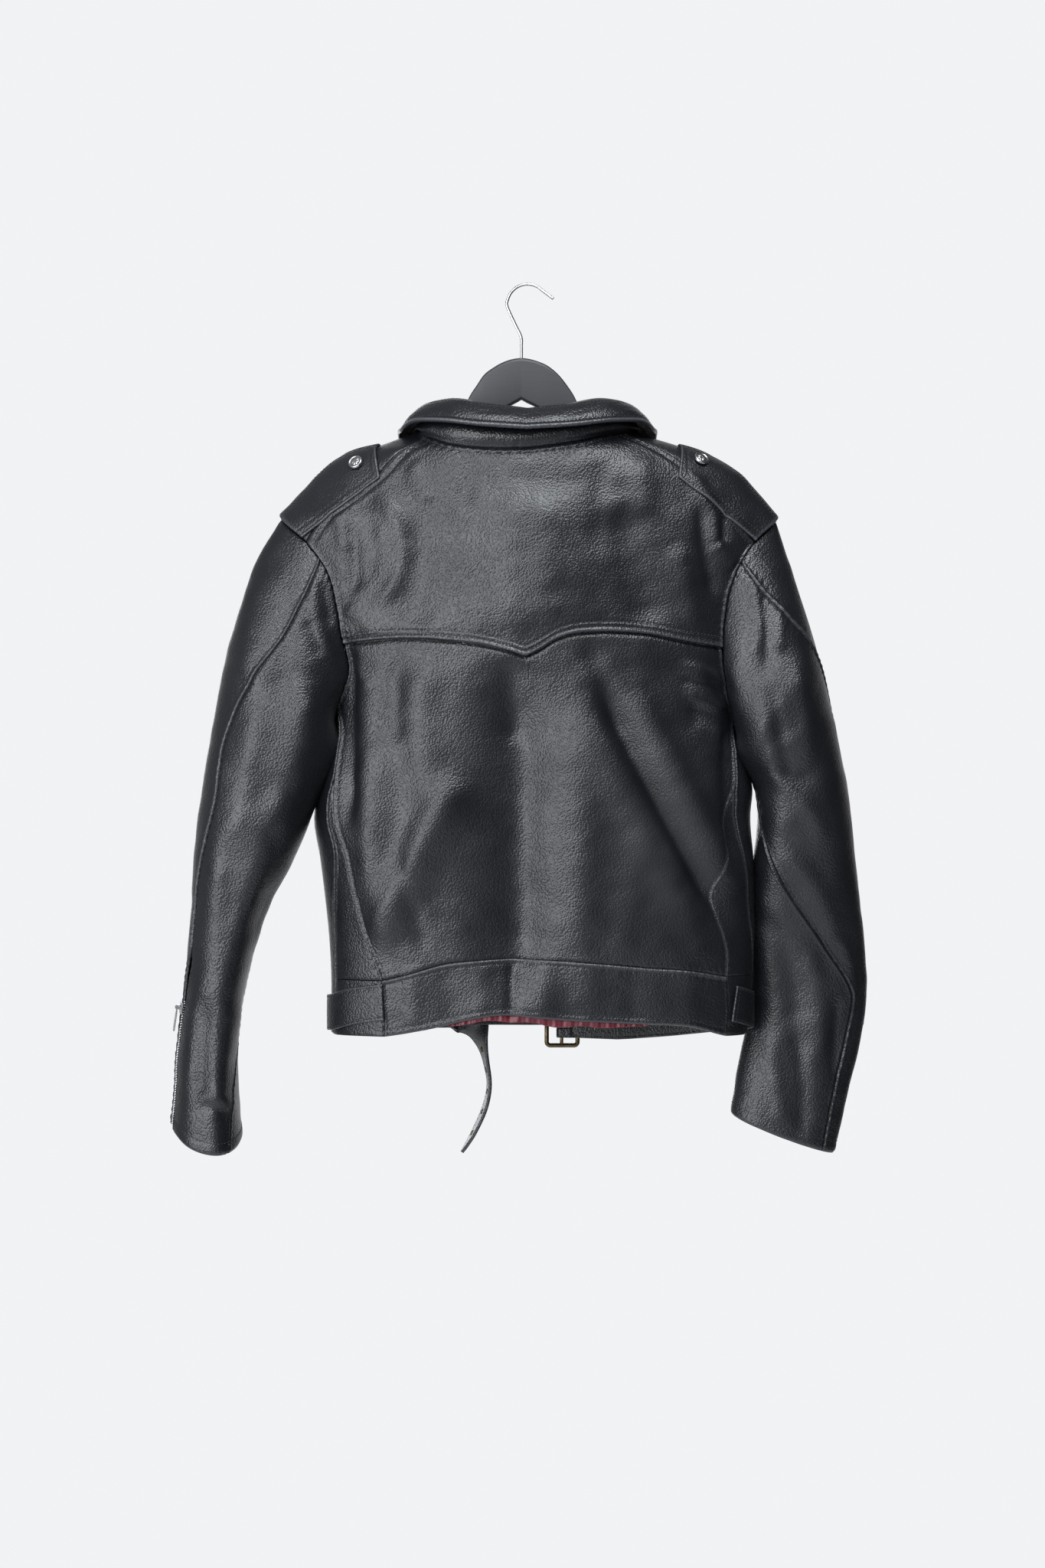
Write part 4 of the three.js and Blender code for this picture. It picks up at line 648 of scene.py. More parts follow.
def closed_wall(outer, inner):
    """Points and quads of a closed wall: an outer grid, an inner grid, and the rim between them."""
    rows, cols = outer.shape[:2]
    ids = np.arange(rows * cols).reshape(rows, cols)
    ring = np.concatenate([ids[0, :-1], ids[:-1, -1], ids[-1, :0:-1], ids[:0:-1, 0]])
    after = np.roll(ring, -1)
    count = rows * cols
    rim = np.stack([after, ring, ring + count, after + count], -1)
    quads = np.concatenate([grid_faces(ids), grid_faces(ids + count)[:, ::-1], rim])
    return np.concatenate([outer.reshape(-1, 3), inner.reshape(-1, 3)]), quads


def sew(name, face, nodes, thick=HIDE, lift=0.0, wear_and_highlight=0.0, matt=0.0, cloth=hide):
    """Makes a piece of cloth from its face: its wall, its edges painted grey as rubbed wear and painted
    highlight, and its place; its cut is measured but not kept.
    """
    points, quads = closed_wall(face.face, face.inner(thick - lift))
    blank = np.zeros(face.u.shape)
    piece = mesh_piece(name, points, quads, cloth, {
        label: np.concatenate([np.clip(values + blank, 0, 1).ravel(), blank.ravel()])
        for label, values in (("wear_and_highlight", wear_and_highlight), ("matt", matt))})
    wide, tall, area = face.cut()
    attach(piece, "root")
    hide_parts(*nodes)


STITCH_PITCH = 3.8
STITCH_LONG = 2.9
STITCH_THICK = 0.42
thread_runs = []


def stitch(face, side, inset, first=0.01, last=0.99):
    """Notes a row of topstitching, this far in from an edge of a face."""
    thread_runs.append(face.line(side, inset, first, last))


def shoulder_edge(side):
    """The shoulder seam from the armhole up to the neck."""
    top = float(neck_height(side * 54))
    miss = at(lambda t: armhole(side, TURN_SHOULDER[side]), 0)[0] - shoulder_seam[side](SHOULDER_END)[0]

    def line(t):
        z = mix(SHOULDER_END, top, t)
        return spot(shoulder_seam[side](z)[..., 0] + miss * (1 - t), z)
    return line


def arm_edge(side, first, last):
    """A stretch of the armhole."""
    return lambda t: armhole(side, mix(first, last, t))


WAIST_X = {-1: -141.0, 1: 193.0}
HEM_X = {-1: -138.0, 1: 193.0}
neck_corner = {side: at(shoulder_edge(side), 1) for side in SIDES}
yoke_corner = {side: armhole(side, TURN_YOKE[side]) for side in SIDES}
arm_foot = {side: armhole(side, TURN_SIDE_BACK[side]) for side in SIDES}
waist_corner = {side: waist_seam(x) for side, x in WAIST_X.items()}
hem_corner = {side: back_hem(x) for side, x in HEM_X.items()}


def upper_side(side):
    """The seam from the armhole's foot to the gusset's point."""
    end = side_back_seam[side](GUSSET_TOP[side])
    return pinned(stretch(side_back_seam[side], arm_foot[side][1], end[1]), arm_foot[side], end)


def lower_side(side):
    """The seam down the gusset to the waist."""
    top, foot = side_back_seam[side](GUSSET_START[side]), waist_corner[side]
    return pinned(stretch(side_back_seam[side], top[1], foot[1]), top, foot)


def neck_seam(first, last):
    """A stretch of the neck seam between two angles."""
    return lambda t: spot(mix(first, last, t), neck_height(mix(first, last, t)))


YOKE_POINT = -2.0
YOKE_ENDS = {-1: -182.0, 1: 190.0}
YOKE_ROWS, YOKE_COLS = 138, 186
YOKE_STITCHES = (5.2, 10.2)
NECK_STITCH = 6.5
SHOULDER_STITCH = 7.0
SHOULDER_PARTS, ARMHOLE_PARTS = 8, 5  # their shares of the yoke's side
SLANT = 0.62
yoke_tip = yoke_left(YOKE_POINT)
yoke_edge = edge((1, pinned(stretch(yoke_left, YOKE_ENDS[-1], YOKE_POINT), yoke_corner[-1], yoke_tip)),
                 (1, pinned(stretch(yoke_right, YOKE_POINT, YOKE_ENDS[1]), yoke_tip, yoke_corner[1])))


def yoke_side(side):
    """The yoke's side: the shoulder seam from the neck down, then the armhole."""
    return edge((SHOULDER_PARTS, lambda t: shoulder_edge(side)(1 - t)),
                (ARMHOLE_PARTS, arm_edge(side, TURN_SHOULDER[side], TURN_YOKE[side])))


neck_line = pinned(neck_seam(neck_corner[-1][0], neck_corner[1][0]), neck_corner[-1], neck_corner[1])
yoke = Face(patch(yoke_side(-1), yoke_side(1), neck_line, yoke_edge, (0.0, 0.0, 0.2, -1.4),
                  YOKE_COLS, YOKE_ROWS))
# Rows meet the shoulder seam on a slant, so the distance from it is less than the way along a row.
shoulder_share = SHOULDER_PARTS / (SHOULDER_PARTS + ARMHOLE_PARTS)
on_shoulder = ease((shoulder_share + 0.02 - dense(YOKE_ROWS)[:, None]) / 0.04)
yoke.left, yoke.right = (way * mix(1, SLANT, on_shoulder) for way in (yoke.left, yoke.right))


def yoke_beside(d):
    """Along the shoulder the yoke dips to the seam, at the armhole its edge is turned in."""
    shoulder = (roll(d, 1.0, 3.2, 1.6) + tucked(d, 1.1, 1.6) + groove(d, SHOULDER_STITCH, 0.4)
                + roll(d, 0.5, 11, 3))
    return mix(turned(d, 1.3, 2.0, 1.5), shoulder, on_shoulder) + pucker(d, yoke.v, 0.3, 8, 9)


yoke.shape(turned(yoke.bottom, 1.1, 2.4, 1.6) + sum(groove(yoke.bottom, inset) for inset in YOKE_STITCHES)
           + roll(yoke.bottom, 0.5, 7.7, 1.6) + pucker(yoke.bottom, yoke.u, 0.16, 6.5, 14)
           + roll(yoke.top, 0.7, 4.0, 2.0) + tucked(yoke.top, 0.9) + groove(yoke.top, NECK_STITCH, 0.35)
           + pucker(yoke.top, yoke.u, 0.35, 9, 12) + both(yoke, yoke_beside), lift=0.5)
sew("yoke_hide", yoke, ["back_yoke"], lift=0.5,
    wear_and_highlight=worn_and_highlit_edge(yoke.bottom, 0.55, 1.6, 1.2) + both(yoke, lambda d: worn_and_highlit_edge(d, 0.5, 1.8)))
for inset in YOKE_STITCHES:
    stitch(yoke, "bottom", inset)
stitch(yoke, "top", NECK_STITCH, 0.02, 0.98)
for edge_name in ("left", "right"):
    stitch(yoke, edge_name, SHOULDER_STITCH, 0.03, 0.58)


def back_side(side):
    """The lower back's side: armhole, seam to the gusset's point, and down to the waist."""
    return edge((3, arm_edge(side, TURN_YOKE[side], TURN_SIDE_BACK[side])), (2, upper_side(side)),
                (1, stretch(side_back_seam[side], GUSSET_TOP[side], GUSSET_START[side])),
                (7, lower_side(side)))


waist_line = stretch(waist_seam, WAIST_X[-1], WAIST_X[1])
lower = Face(patch(back_side(-1), back_side(1), yoke_edge, waist_line, (-1.6, -1.6, -1.0, 0.1), 178, 154))
lower.shape(tucked(lower.top, 1.6, 3.0) + pucker(lower.top, lower.u, 0.14, 7, 10)
            + both(lower, lambda d: turned(d, 1.1, 1.9, 1.3) + groove(d, 5.5, 0.25, 1.2)
                   + pucker(d, lower.v, 0.22, 9, 8))
            + tucked(lower.bottom, 0.9, 1.6) + pucker(lower.bottom, lower.u, 0.16, 7.5, 10))
# A matt patch where the hide is scuffed, to the right above the waist.
x_lower, z_lower = lower.base[..., 0], lower.base[..., 2]
scuffed = np.exp(-((x_lower - 130) / 42) ** 2 - ((z_lower + 545) / 85) ** 2)
sew("lower_back_hide", lower, ["back_lower"], matt=0.8 * scuffed, wear_and_highlight=both(lower, lambda d: worn_and_highlit_edge(d, 0.4)))

BAND_STITCHES = {"top": 4.6, "bottom": 6.5}
band = Face(patch(between(waist_corner[-1], hem_corner[-1]), between(waist_corner[1], hem_corner[1]),
                  waist_line, stretch(back_hem, HEM_X[-1], HEM_X[1]), (0.2, 0.2, 0.0, 0.2), 170, 34))
band.shape(turned(band.top, 0.9, 2.0, 1.5, 1.3) + groove(band.top, BAND_STITCHES["top"])
           + turned(band.bottom, 0.7, 3.0, 2.0, 1.5) + groove(band.bottom, BAND_STITCHES["bottom"])
           + both(band, lambda d: turned(d, 0.8, 2.0, 1.3)) + pucker(band.top, band.u, 0.25, 8, 8)
           + pucker(band.bottom, band.u, 0.2, 7, 7), lift=0.3)
sew("waistband_hide", band, ["waistband_back"], lift=0.3,
    wear_and_highlight=worn_and_highlit_edge(band.top, 0.6, 1.4) + worn_and_highlit_edge(band.bottom, 0.6, 0.8, 1.2) + worn_and_highlit_edge(band.left, 0.3, 1.4))
for edge_name, inset in BAND_STITCHES.items():
    stitch(band, edge_name, inset)

# ------------------------------------------------------------------ sides
# A narrow gusset between back and front on each side, pointed under the arm, with its own
# short piece of band below the waist. Both its seams stand up in a thin ridge.
SEAM_GAP = 0.2
UNDER_SEAM = -0.6  # the gusset runs this far under its neighbours
for side, name in SIDE_NAMES.items():
    waist, hem = waist_corner[side][1], hem_corner[side][1]
    point = side_back_seam[side](GUSSET_TOP[side])
    seams = [edge((1, between(mix(point, at(line, 0), 0.1), at(line, 0))), (9, line))
             for line in (lower_side(side), stretch(side_seam[side], GUSSET_START[side], waist))]
    band_seams = between(waist_corner[side], hem_corner[side]), stretch(side_seam[side], waist, hem)
    for label, lines, rows in (("panel", seams, 90), ("band", band_seams, 26)):
        low, high = lines[::side]
        gusset = Face(patch(low, high, between(at(low, 0), at(high, 0)), between(at(low, 1), at(high, 1)),
                            (UNDER_SEAM, UNDER_SEAM, SEAM_GAP, SEAM_GAP), 30, rows))
        by_back, by_front = (gusset.left, gusset.right)[::side]
        gusset.shape(tucked(by_back, 1.0, 1.8) + roll(by_front, 0.5, 2.6, 1.2) + tucked(by_front, 0.8, 1.2)
                     + pucker(by_back, gusset.v, 0.25, 9, 8) + tucked(gusset.bottom, 0.6, 1.2))
        sew(f"side_{label}_hide_{name}", gusset, [f"side_{label}_{name}"], wear_and_highlight=worn_and_highlit_edge(by_front, 0.5, 2.0))

# ------------------------------------------------------------------ fronts
# Two fronts that meet at a slanting zip, with the lapels folded out at the neck. They hang
# a little lower than the back, and their hems are turned up and stitched.
CHAIN_WIDTH = 6.0
CHAIN_HALF = CHAIN_WIDTH / 2 + 0.5
NECK_FRONT = 158.0
ZIP_BREAK = (40.0, -400.0)
zip_x = smooth([(-400, 40), (-470, 33), (-560, 25), (-650, 20), (-735, 18)], 1)
front_hem = smooth([(-192, -738), (-98, -730), (-25, -727), (67, -730), (121, -740), (175, -744),
                    (212, -739)], 1)
ZIP_FOOT = float(front_hem(18.0))
FRONT_STITCHES = {"right": 6.5, "bottom": 8.0}
# Each lapel's outer edge runs from its tip, its folded edge from the neck; x and z of their ends.
LAPEL_TIPS = {-1: (-130.0, -235.0), 1: (140.0, -215.0)}
LAPEL_NECK = (62.0, -182.0)
LAPEL_FOOT_OUT, LAPEL_FOOT_IN = (16.0, -378.0), (8.0, -382.0)  # x from the zip's break
LAPEL_LIFT = 0.8 + HIDE
LAPEL_STITCH = 6.0


def front_line(side, p, q):
    """Straight on the front from one x and z to another."""
    return lambda t: spot(front_angle(mix(p[0], q[0], t), mix(p[1], q[1], t), side), mix(p[1], q[1], t))


for side, name in SIDE_NAMES.items():
    waist, hem = waist_corner[side][1], hem_corner[side][1]
    zip_edge = lambda z: spot(front_angle(zip_x(z) + side * CHAIN_HALF, z, side), z)
    neck_front = neck_seam(neck_corner[side][0], side * NECK_FRONT)
    gusset_tip, gusset_foot = side_back_seam[side](GUSSET_TOP[side]), side_seam[side](GUSSET_START[side])
    outer = edge((16, arm_edge(side, TURN_SHOULDER[side], TURN_SIDE_BACK[side] - 360)),
                 (2, upper_side(side)), (1, between(gusset_tip, gusset_foot)),
                 (7, stretch(side_seam[side], GUSSET_START[side], waist)),
                 (2, stretch(side_seam[side], waist, hem)))
    inner = edge((7, neck_front), (8, between(at(neck_front, 1), zip_edge(ZIP_BREAK[1]))),
                 (13, stretch(zip_edge, ZIP_BREAK[1], ZIP_FOOT)))
    foot_out, foot_in = at(outer, 1), at(inner, 1)
    hem_line = lambda t: spot(mix(foot_out[0], foot_in[0], t), mix(hem, ZIP_FOOT, ease(t * 1.6)))
    front = Face(patch(outer, inner, shoulder_edge(side), hem_line, (0.1, 0.2, 0.2, 0.2), 76, 118))
    front.shape(turned(front.left, 0.9, 1.9, 1.4) + pucker(front.left, front.v, 0.25, 8, 8)
                + turned(front.right, 0.9, 2.4, 1.8) + groove(front.right, FRONT_STITCHES["right"])
                + pucker(front.right, front.v, 0.2, 8, 7) + tucked(front.top, 0.8)
                + turned(front.bottom, 0.6, 3, 2, 1.4) + groove(front.bottom, FRONT_STITCHES["bottom"]))
    sew(f"front_hide_{name}", front, [f"front_{name}"],
        wear_and_highlight=worn_and_highlit_edge(front.right, 0.45, 1.4) + worn_and_highlit_edge(front.bottom, 0.5, 0.8, 1.2))
    stitch(front, "right", FRONT_STITCHES["right"], 0.52, 0.99)
    stitch(front, "bottom", FRONT_STITCHES["bottom"])

    flap = [front_line(side, start, (ZIP_BREAK[0] + side * x, z)) for start, (x, z) in (
        (LAPEL_TIPS[side], LAPEL_FOOT_OUT), ((side * LAPEL_NECK[0], LAPEL_NECK[1]), LAPEL_FOOT_IN))]
    lapel = Face(patch(*flap, between(at(flap[0], 0), at(flap[1], 0)),
                       between(at(flap[0], 1), at(flap[1], 1)), (0.3, 0.3, 0.3, 0.3), 60, 84))
    lapel.shape(rounded(lapel.right, 1.6) + rounded(lapel.bottom, 1.2) + sum(
        turned(d, 0.7, 2.2, 1.6, 1.4) + groove(d, LAPEL_STITCH) for d in (lapel.left, lapel.top)),
        lift=LAPEL_LIFT)
    sew(f"lapel_hide_{name}", lapel, [f"lapel_{name}"], lift=LAPEL_LIFT,
        wear_and_highlight=worn_and_highlit_edge(lapel.left, 0.5, 1.4) + worn_and_highlit_edge(lapel.top, 0.5, 1.4))
    stitch(lapel, "left", LAPEL_STITCH, 0.05, 0.98)
    stitch(lapel, "top", LAPEL_STITCH, 0.05, 0.95)

# ------------------------------------------------------------------ sleeves
# Two-piece sleeves, set in at the armholes. The upper piece is lapped over the under piece
# down the back seam, and a cuff zip opens that seam for the last hand's breadth.
# Row; outer x z, inner x z; depth; y and tilt of the near side; turns of back and inner seam.
SLEEVES = {
    -1: [
        (0, -242, -229, -180, -428, 44, -5, 0, 53.5, 182), (1, -266, -270, -181, -434, 54, -7, 0, 62, 188),
        (2, -281, -316, -184, -443, 57, -10, 0, 67, 190), (3, -294, -362, -189, -456, 58, -12, 0, 62, 192),
        (4, -302, -403, -196, -475, 56, -14, 0, 51, 195), (5, -311, -452, -205, -499, 54, -16, 0, 44, 197),
        (6, -320, -508, -215, -530, 54, -16, 0, 47, 198), (7, -326, -560, -232, -570, 52, -14, 0, 37, 198),
        (8, -328, -605, -250, -603, 50, -12, 0, 29.5, 197),
        (9, -332, -650, -264, -642, 48, -10, 2, 30.7, 196),
        (10, -336, -695, -275, -685, 48, -8, 6, 20, 192), (11, -342, -740, -282, -730, 48, -6, 10, 14, 180),
        (12, -345, -785, -283, -775, 49, -4, 15, 12, 154),
        (13, -348, -818, -279, -834, 50, -4, 20, 12, 133),
    ],
    1: [
        (0, 243, -230, 197, -440, 44, -5, 0, 52.5, 184), (1, 257, -274, 199, -444, 54, -6, 0, 47.5, 185),
        (2, 271, -318, 203, -451, 57, -7, 0, 38.5, 183), (3, 284, -362, 208, -461, 58, -8, 0, 18, 181),
        (4, 295, -405, 214, -475, 54, -6, 0, -2, 179), (5, 305, -450, 222, -492, 50, -4, 0, -14, 175),
        (6, 314, -497, 225, -518, 46, -2, 0, -22, 165), (7, 320, -548, 221.5, -557, 40, 2, 0, -25, 137.7),
        (8, 326, -600, 217, -600, 34, 8, 0, -26, 105), (9, 332, -650, 216, -645, 30, 15, 0, -26, 72.5),
        (10, 334, -695, 216, -690, 28, 22, 1, -26, 44), (11, 328, -740, 214, -730, 26, 22, 2, -26, 44.8),
        (12, 315, -793, 205, -775, 26, 20, 3, -26, 44), (13, 302, -850, 200, -812, 26, 18, 4, -26, 42),
    ],
}
SLEEVE_END = 13.0
SLEEVE_ROWS = 196
SLEEVE_COLS = {"under": 80, "upper": 104}
HEAD_ROWS = 3.0
ARMPIT_CLEAR = 0.5  # how far the sleeve stands off the body at the armpit, within so many degrees
ARMPIT_TURNS = 48.0
ZIP_TOP_ROW = 9.9
FLAT_FACE = 0.045  # the near face is pressed flat by this share of the depth
FACE_TURN = {-1: 9.0, 1: 0.0}  # and twisted, its outer half forward by so many mm
CUFF_STITCH = 11.5
TUCK = 4.0  # the sleeve head goes on this far under the armhole's edge
TUCK_IN = 2.5
sleeve_curves = {side: [smooth(rows, k) for k in range(1, 10)] for side, rows in SLEEVES.items()}
# Folds by turn and row, with half widths of both.
ROUND_FOLDS = {
    -1: [(95, 4.6, 34, 0.42, 2.4), (105, 5.4, 30, 0.4, -2.4), (80, 6.3, 36, 0.45, 2.2),
         (100, 8.2, 40, 0.6, -2), (170, 3.4, 24, 1.8, 6)],
    1: [(95, 4.2, 34, 0.42, 2.4), (85, 5.2, 34, 0.4, -2.4), (95, 6.2, 34, 0.42, 2.2), (80, 9.0, 34, 0.6, -2),
        (170, 3.0, 24, 1.6, 4)],
}
# Folds of the near side by x and z, as on the back.
SLEEVE_FOLDS = {
    -1: [(-202, -280, -189, -364, 6.5, 2.4, -9), (-197, -292, -191, -332, 5.5, -2.4, 0),
         (-213, -332, -200, -362, 7, -2, 0), (-262, -290, -270, -380, 14, 2.5, -6),
         (-232, -300, -238, -400, 12, -2, 0), (-215, -400, -240, -520, 12, 3, 8),
         (-262, -420, -282, -540, 14, 2.5, 0), (-240, -540, -272, -640, 10, -2.5, 6),
         (-300, -560, -306, -700, 12, 2, 0), (-275, -700, -300, -800, 9, 2.4, -6),
         (-312, -700, -318, -790, 9, -2, 0), (-318, -790, -286, -800, 6, 1.6, 4),
         (-316, -800, -288, -812, 5, -1.4, 3)],
    1: [(213, -284, 223, -356, 7, 2.4, 6), (246, -314, 241, -358, 8, 1.8, 0),
        (228, -300, 233, -380, 7, -2, 0), (260, -380, 268, -470, 10, 2.4, 6),
        (236, -400, 252, -480, 8, -2.6, 0), (240, -480, 286, -540, 9, 2.6, 6),
        (256, -560, 300, -640, 11, 3, 6), (232, -620, 262, -720, 12, -3, 8),
        (276, -650, 284, -760, 10, 2.4, 6), (238, -740, 250, -820, 9, 2.2, 0),
        (262, -730, 268, -830, 8, -2.2, 4), (306, -640, 320, -700, 7, 2.4, 4),
        (304, -700, 300, -770, 6, -2, 0)],
}


def sleeve_ring(side, turn, row):
    """An ellipse between the outer and inner outline points, as deep as the table says."""
    ox, oz, ix, iz, deep, y, tilt = (curve(row) for curve in sleeve_curves[side][:7])
    share = (1 + cos(turn)) / 2
    return np.stack([mix(ix, ox, share), y - deep * sin(turn), mix(iz, oz, share) - tilt * sin(turn)], -1)


def body_out(phi, z, by_angle, by_height):
    """Direction out of the body: square to its two tangents, each taken over a small step."""
    across = body(phi + by_angle, z) - body(phi - by_angle, z)
    return unit(np.cross(across, body(phi, z + by_height) - body(phi, z - by_height)))


def sleeve(side, turn, row):
    """A point of the sleeve: its ring, drawn to the armhole near its head, with the folds added
    along the ring's own direction."""
    ring = sleeve_ring(side, turn, row)
    pull = (1 - ease(row / HEAD_ROWS))[..., None]
    hole_phi, hole_z = np.moveaxis(armhole(side, turn), -1, 0)
    clear = ARMPIT_CLEAR * np.exp(-((np.mod(turn, 360) - 180) / ARMPIT_TURNS) ** 2)
    rim = body(hole_phi, hole_z) + body_out(hole_phi, hole_z, 1.5, 3) * clear[..., None]
    ring = ring + (rim - sleeve_ring(side, turn, 0 * row)) * pull
    deep = sleeve_curves[side][4](row)
    away = unit(np.stack([side * cos(turn) * deep, -sin(turn) * deep, 0 * deep], -1))
    flat = deep * FLAT_FACE * cos(4 * turn) + FACE_TURN[side] * cos(turn)
    flat = flat * sin(turn) ** 2 * ease(sin(turn) * 3)
    ring = ring + np.array([0, 1, 0]) * flat[..., None] * (1 - pull)
    bump = np.zeros(np.broadcast(turn, row).shape)
    for fold_turn, fold_row, turns, rows, height in ROUND_FOLDS[side]:
        far = ((np.mod(turn, 360) - fold_turn) / turns) ** 2 + ((row - fold_row) / rows) ** 2
        bump += height * np.exp(-far)
    drape = (folds(SLEEVE_FOLDS[side], ring[..., 0], ring[..., 2]) * ease(sin(turn) * 2.5)
             + ripple(ring[..., 0], ring[..., 2] + 90))
    return ring + away * (bump + drape * ease(row * 1.6))[..., None]


def sleeve_rows():
    """Rows down the sleeve, closer together at its head and its hem."""
    return np.maximum(SLEEVE_END * dense(SLEEVE_ROWS, 0.35) ** 1.03, 0.012)[:, None]


def sleeve_half(side, label, first, second, first_gap, second_gap):
    """One piece of the sleeve between two seam turns, drawn in at each seam by its gap in mm, its
    head going on under the armhole's edge."""
    row = sleeve_rows()

    def seam(turn_of, gap_of, way):
        turn = turn_of(row)
        speed = np.linalg.norm(sleeve(side, turn + 1, row) - sleeve(side, turn - 1, row), axis=-1) / 2
        return turn + way * gap_of(row) / speed
    turn = mix(seam(first, first_gap, 1), seam(second, second_gap, -1), dense(SLEEVE_COLS[label])[None, :])
    base = sleeve(side, turn, row + 0 * turn)
    under = base[:1] + unit(base[:1] - base[2:3]) * TUCK
    under = under + unit(base[:1].mean(1, keepdims=True) - under) * TUCK_IN
    return np.concatenate([under, base])


for side, name in SIDE_NAMES.items():
    back_turn, inner_turn = sleeve_curves[side][7:]
    opening = lambda row: ease((row - ZIP_TOP_ROW + 1) / 0.4)
    lapped = lambda row: mix(-1.2, CHAIN_HALF, opening(row))
    under_lap = lambda row: mix(0.3, CHAIN_HALF, opening(row))
    plain = lambda row: 0.1 + 0 * row
    row_line = sleeve_rows()
    row_line = np.concatenate([row_line[:1], row_line])
    middle = (sleeve(side, 90.0, row_line) + sleeve(side, 270.0, row_line)) / 2
    for label, seams, gaps in (
        ("under", (back_turn, inner_turn), (under_lap, plain)),
        ("upper", (inner_turn, lambda row: back_turn(row) + 360), (plain, lapped)),
    ):
        half = Face(sleeve_half(side, label, *seams, *gaps), middle)
        upper = label == "upper"
        by_back, by_inner = (half.right, half.left) if upper else (half.left, half.right)
        half.shape((turned(by_back, 1.3, 2.2, 1.5, 1.2) if upper else tucked(by_back, 1.3, 2.6))
                   + pucker(by_back, half.v, 0.4, 8, 9) + tucked(by_inner, 0.9, 1.4)
                   + roll(by_inner, 0.4, 2.4, 1.2) + pucker(by_inner, half.v, 0.3, 9, 8)
                   + tucked(half.top, 1.0, 5.0) + pucker(half.top, half.u, 0.4, 9, 10)
                   + turned(half.bottom, 0.4, 6, 4, 1.3) + groove(half.bottom, CUFF_STITCH, 0.5))
        sew(f"sleeve_{label}_hide_{name}", half, [f"sleeve_{label}_{name}"],
            wear_and_highlight=worn_and_highlit_edge(by_back, 0.5 if upper else 0.1, 1.6, 1.1) + worn_and_highlit_edge(half.bottom, 0.6, 0.6, 1.4))
        stitch(half, "bottom", CUFF_STITCH)

# ------------------------------------------------------------------ collar
# A stand sewn to the neck, and a fall turned down over it, its free edge rolled and
# topstitched twice. Its ends run down to the lapels.
# Place round the neck; neck angle; fold x y z; free edge x y z, on the right half.
COLLAR = [
    (0, 0, 0, -40, -124, 0, -76, -146), (0.2, 22, 38, -37, -119, 44, -73, -143),
    (0.4, 40, 70, -25, -113, 84, -60, -138), (0.55, 55, 90, -8, -116, 110, -41, -137),
    (0.7, 88, 97, 12, -123, 124, -12, -143), (0.85, 125, 90, 32, -132, 127, 22, -150),
    (1, 152, 72, 49, -153, 114, 54, -203),
]
collar_curves = [smooth(COLLAR, k) for k in range(1, 8)]
FOLD, FREE_EDGE = 1, 4  # where each line's x, y and z start among the curves
FALL_OVER = 4.0
FALL_STITCHES = (6.6, 29)
STAND_END = 0.92
TURN_IN = 4.0
TURN_IN_ARC = np.radians(110)
CENTRE_SEAM_X = -10.0


def round_neck(count, fine):
    """Places along the collar from end to end: the share from the middle, and the side."""
    u = dense(count, fine)[None, :]
    return np.abs(2 * u - 1), np.where(u < 0.5, -1.0, 1.0)


def collar_line(s, side, first):
    """Points on the collar's fold or on its free edge."""
    x, y, z = (curve(s) for curve in collar_curves[first:first + 3])
    return np.stack([side * x, y, z], -1)


def arch(start, bend, end, t):
    """A soft arch from one point to another, drawn towards a third."""
    return start * (1 - t) ** 2 + bend * 2 * t * (1 - t) + end * t ** 2


def collar_fall(s, side, t):
    """From inside the fold (t below 0) a short turn of radius TURN_IN, then an arch to the edge."""
    top, end = collar_line(s, side, FOLD), collar_line(s, side, FREE_EDGE)
    bend = mix(top, end, np.array([0.65, 0.65, 0])) + [0, 0, 3]
    turn = np.clip(-t, 0, 1)[..., None] * TURN_IN_ARC
    level = unit((top - bend) * [1, 1, 0])
    inward = level * np.sin(turn) + np.array([0, 0, -1]) * (1 - np.cos(turn))
    return arch(top, bend, end, np.clip(t, 0, 1)[..., None]) + TURN_IN * inward


s_fall, side_fall = round_neck(210, 0.3)
t_fall = np.concatenate([np.linspace(-1, 0, 10)[:-1], dense(44, 0.4)])[:, None]
fall = Face(collar_fall(s_fall + 0 * t_fall, side_fall + 0 * t_fall, t_fall + 0 * s_fall),
            np.array([0, 0, -160]))
fall.shape(turned(fall.bottom, 1.3, 2.4, 1.9, 1.7) + groove(fall.bottom, FALL_STITCHES[0], 0.6)
           + groove(fall.bottom, FALL_STITCHES[1], 0.5) + roll(fall.bottom, 0.4, 12, 4)
           + both(fall, lambda d: turned(d, 1.0, 2.4, 1.8, 1.6) + groove(d, FALL_STITCHES[0]))
           + 0.4 * ripple(fall.u, fall.v * 3) + pucker(fall.bottom - 10, fall.u, 0.25, 7, 8))
# The fall's free edge is painted light grey at full share: a painted highlight along the rolled edge, with
# some rubbed wear.
sew("collar_fall_hide", fall, ["collar_fall"], wear_and_highlight=worn_and_highlit_edge(fall.bottom, 1.0, 2.0, 1.2))
for inset in FALL_STITCHES:
    stitch(fall, "bottom", inset)

s_stand, side_stand = round_neck(170, 0.2)
s_stand = s_stand * STAND_END
neck_phi = side_stand * collar_curves[0](s_stand)
foot = body(neck_phi, neck_height(neck_phi)) + np.array([0, 0, 0.4])
crest = collar_line(s_stand, side_stand, FOLD) + np.array([0, 0, -FALL_OVER])
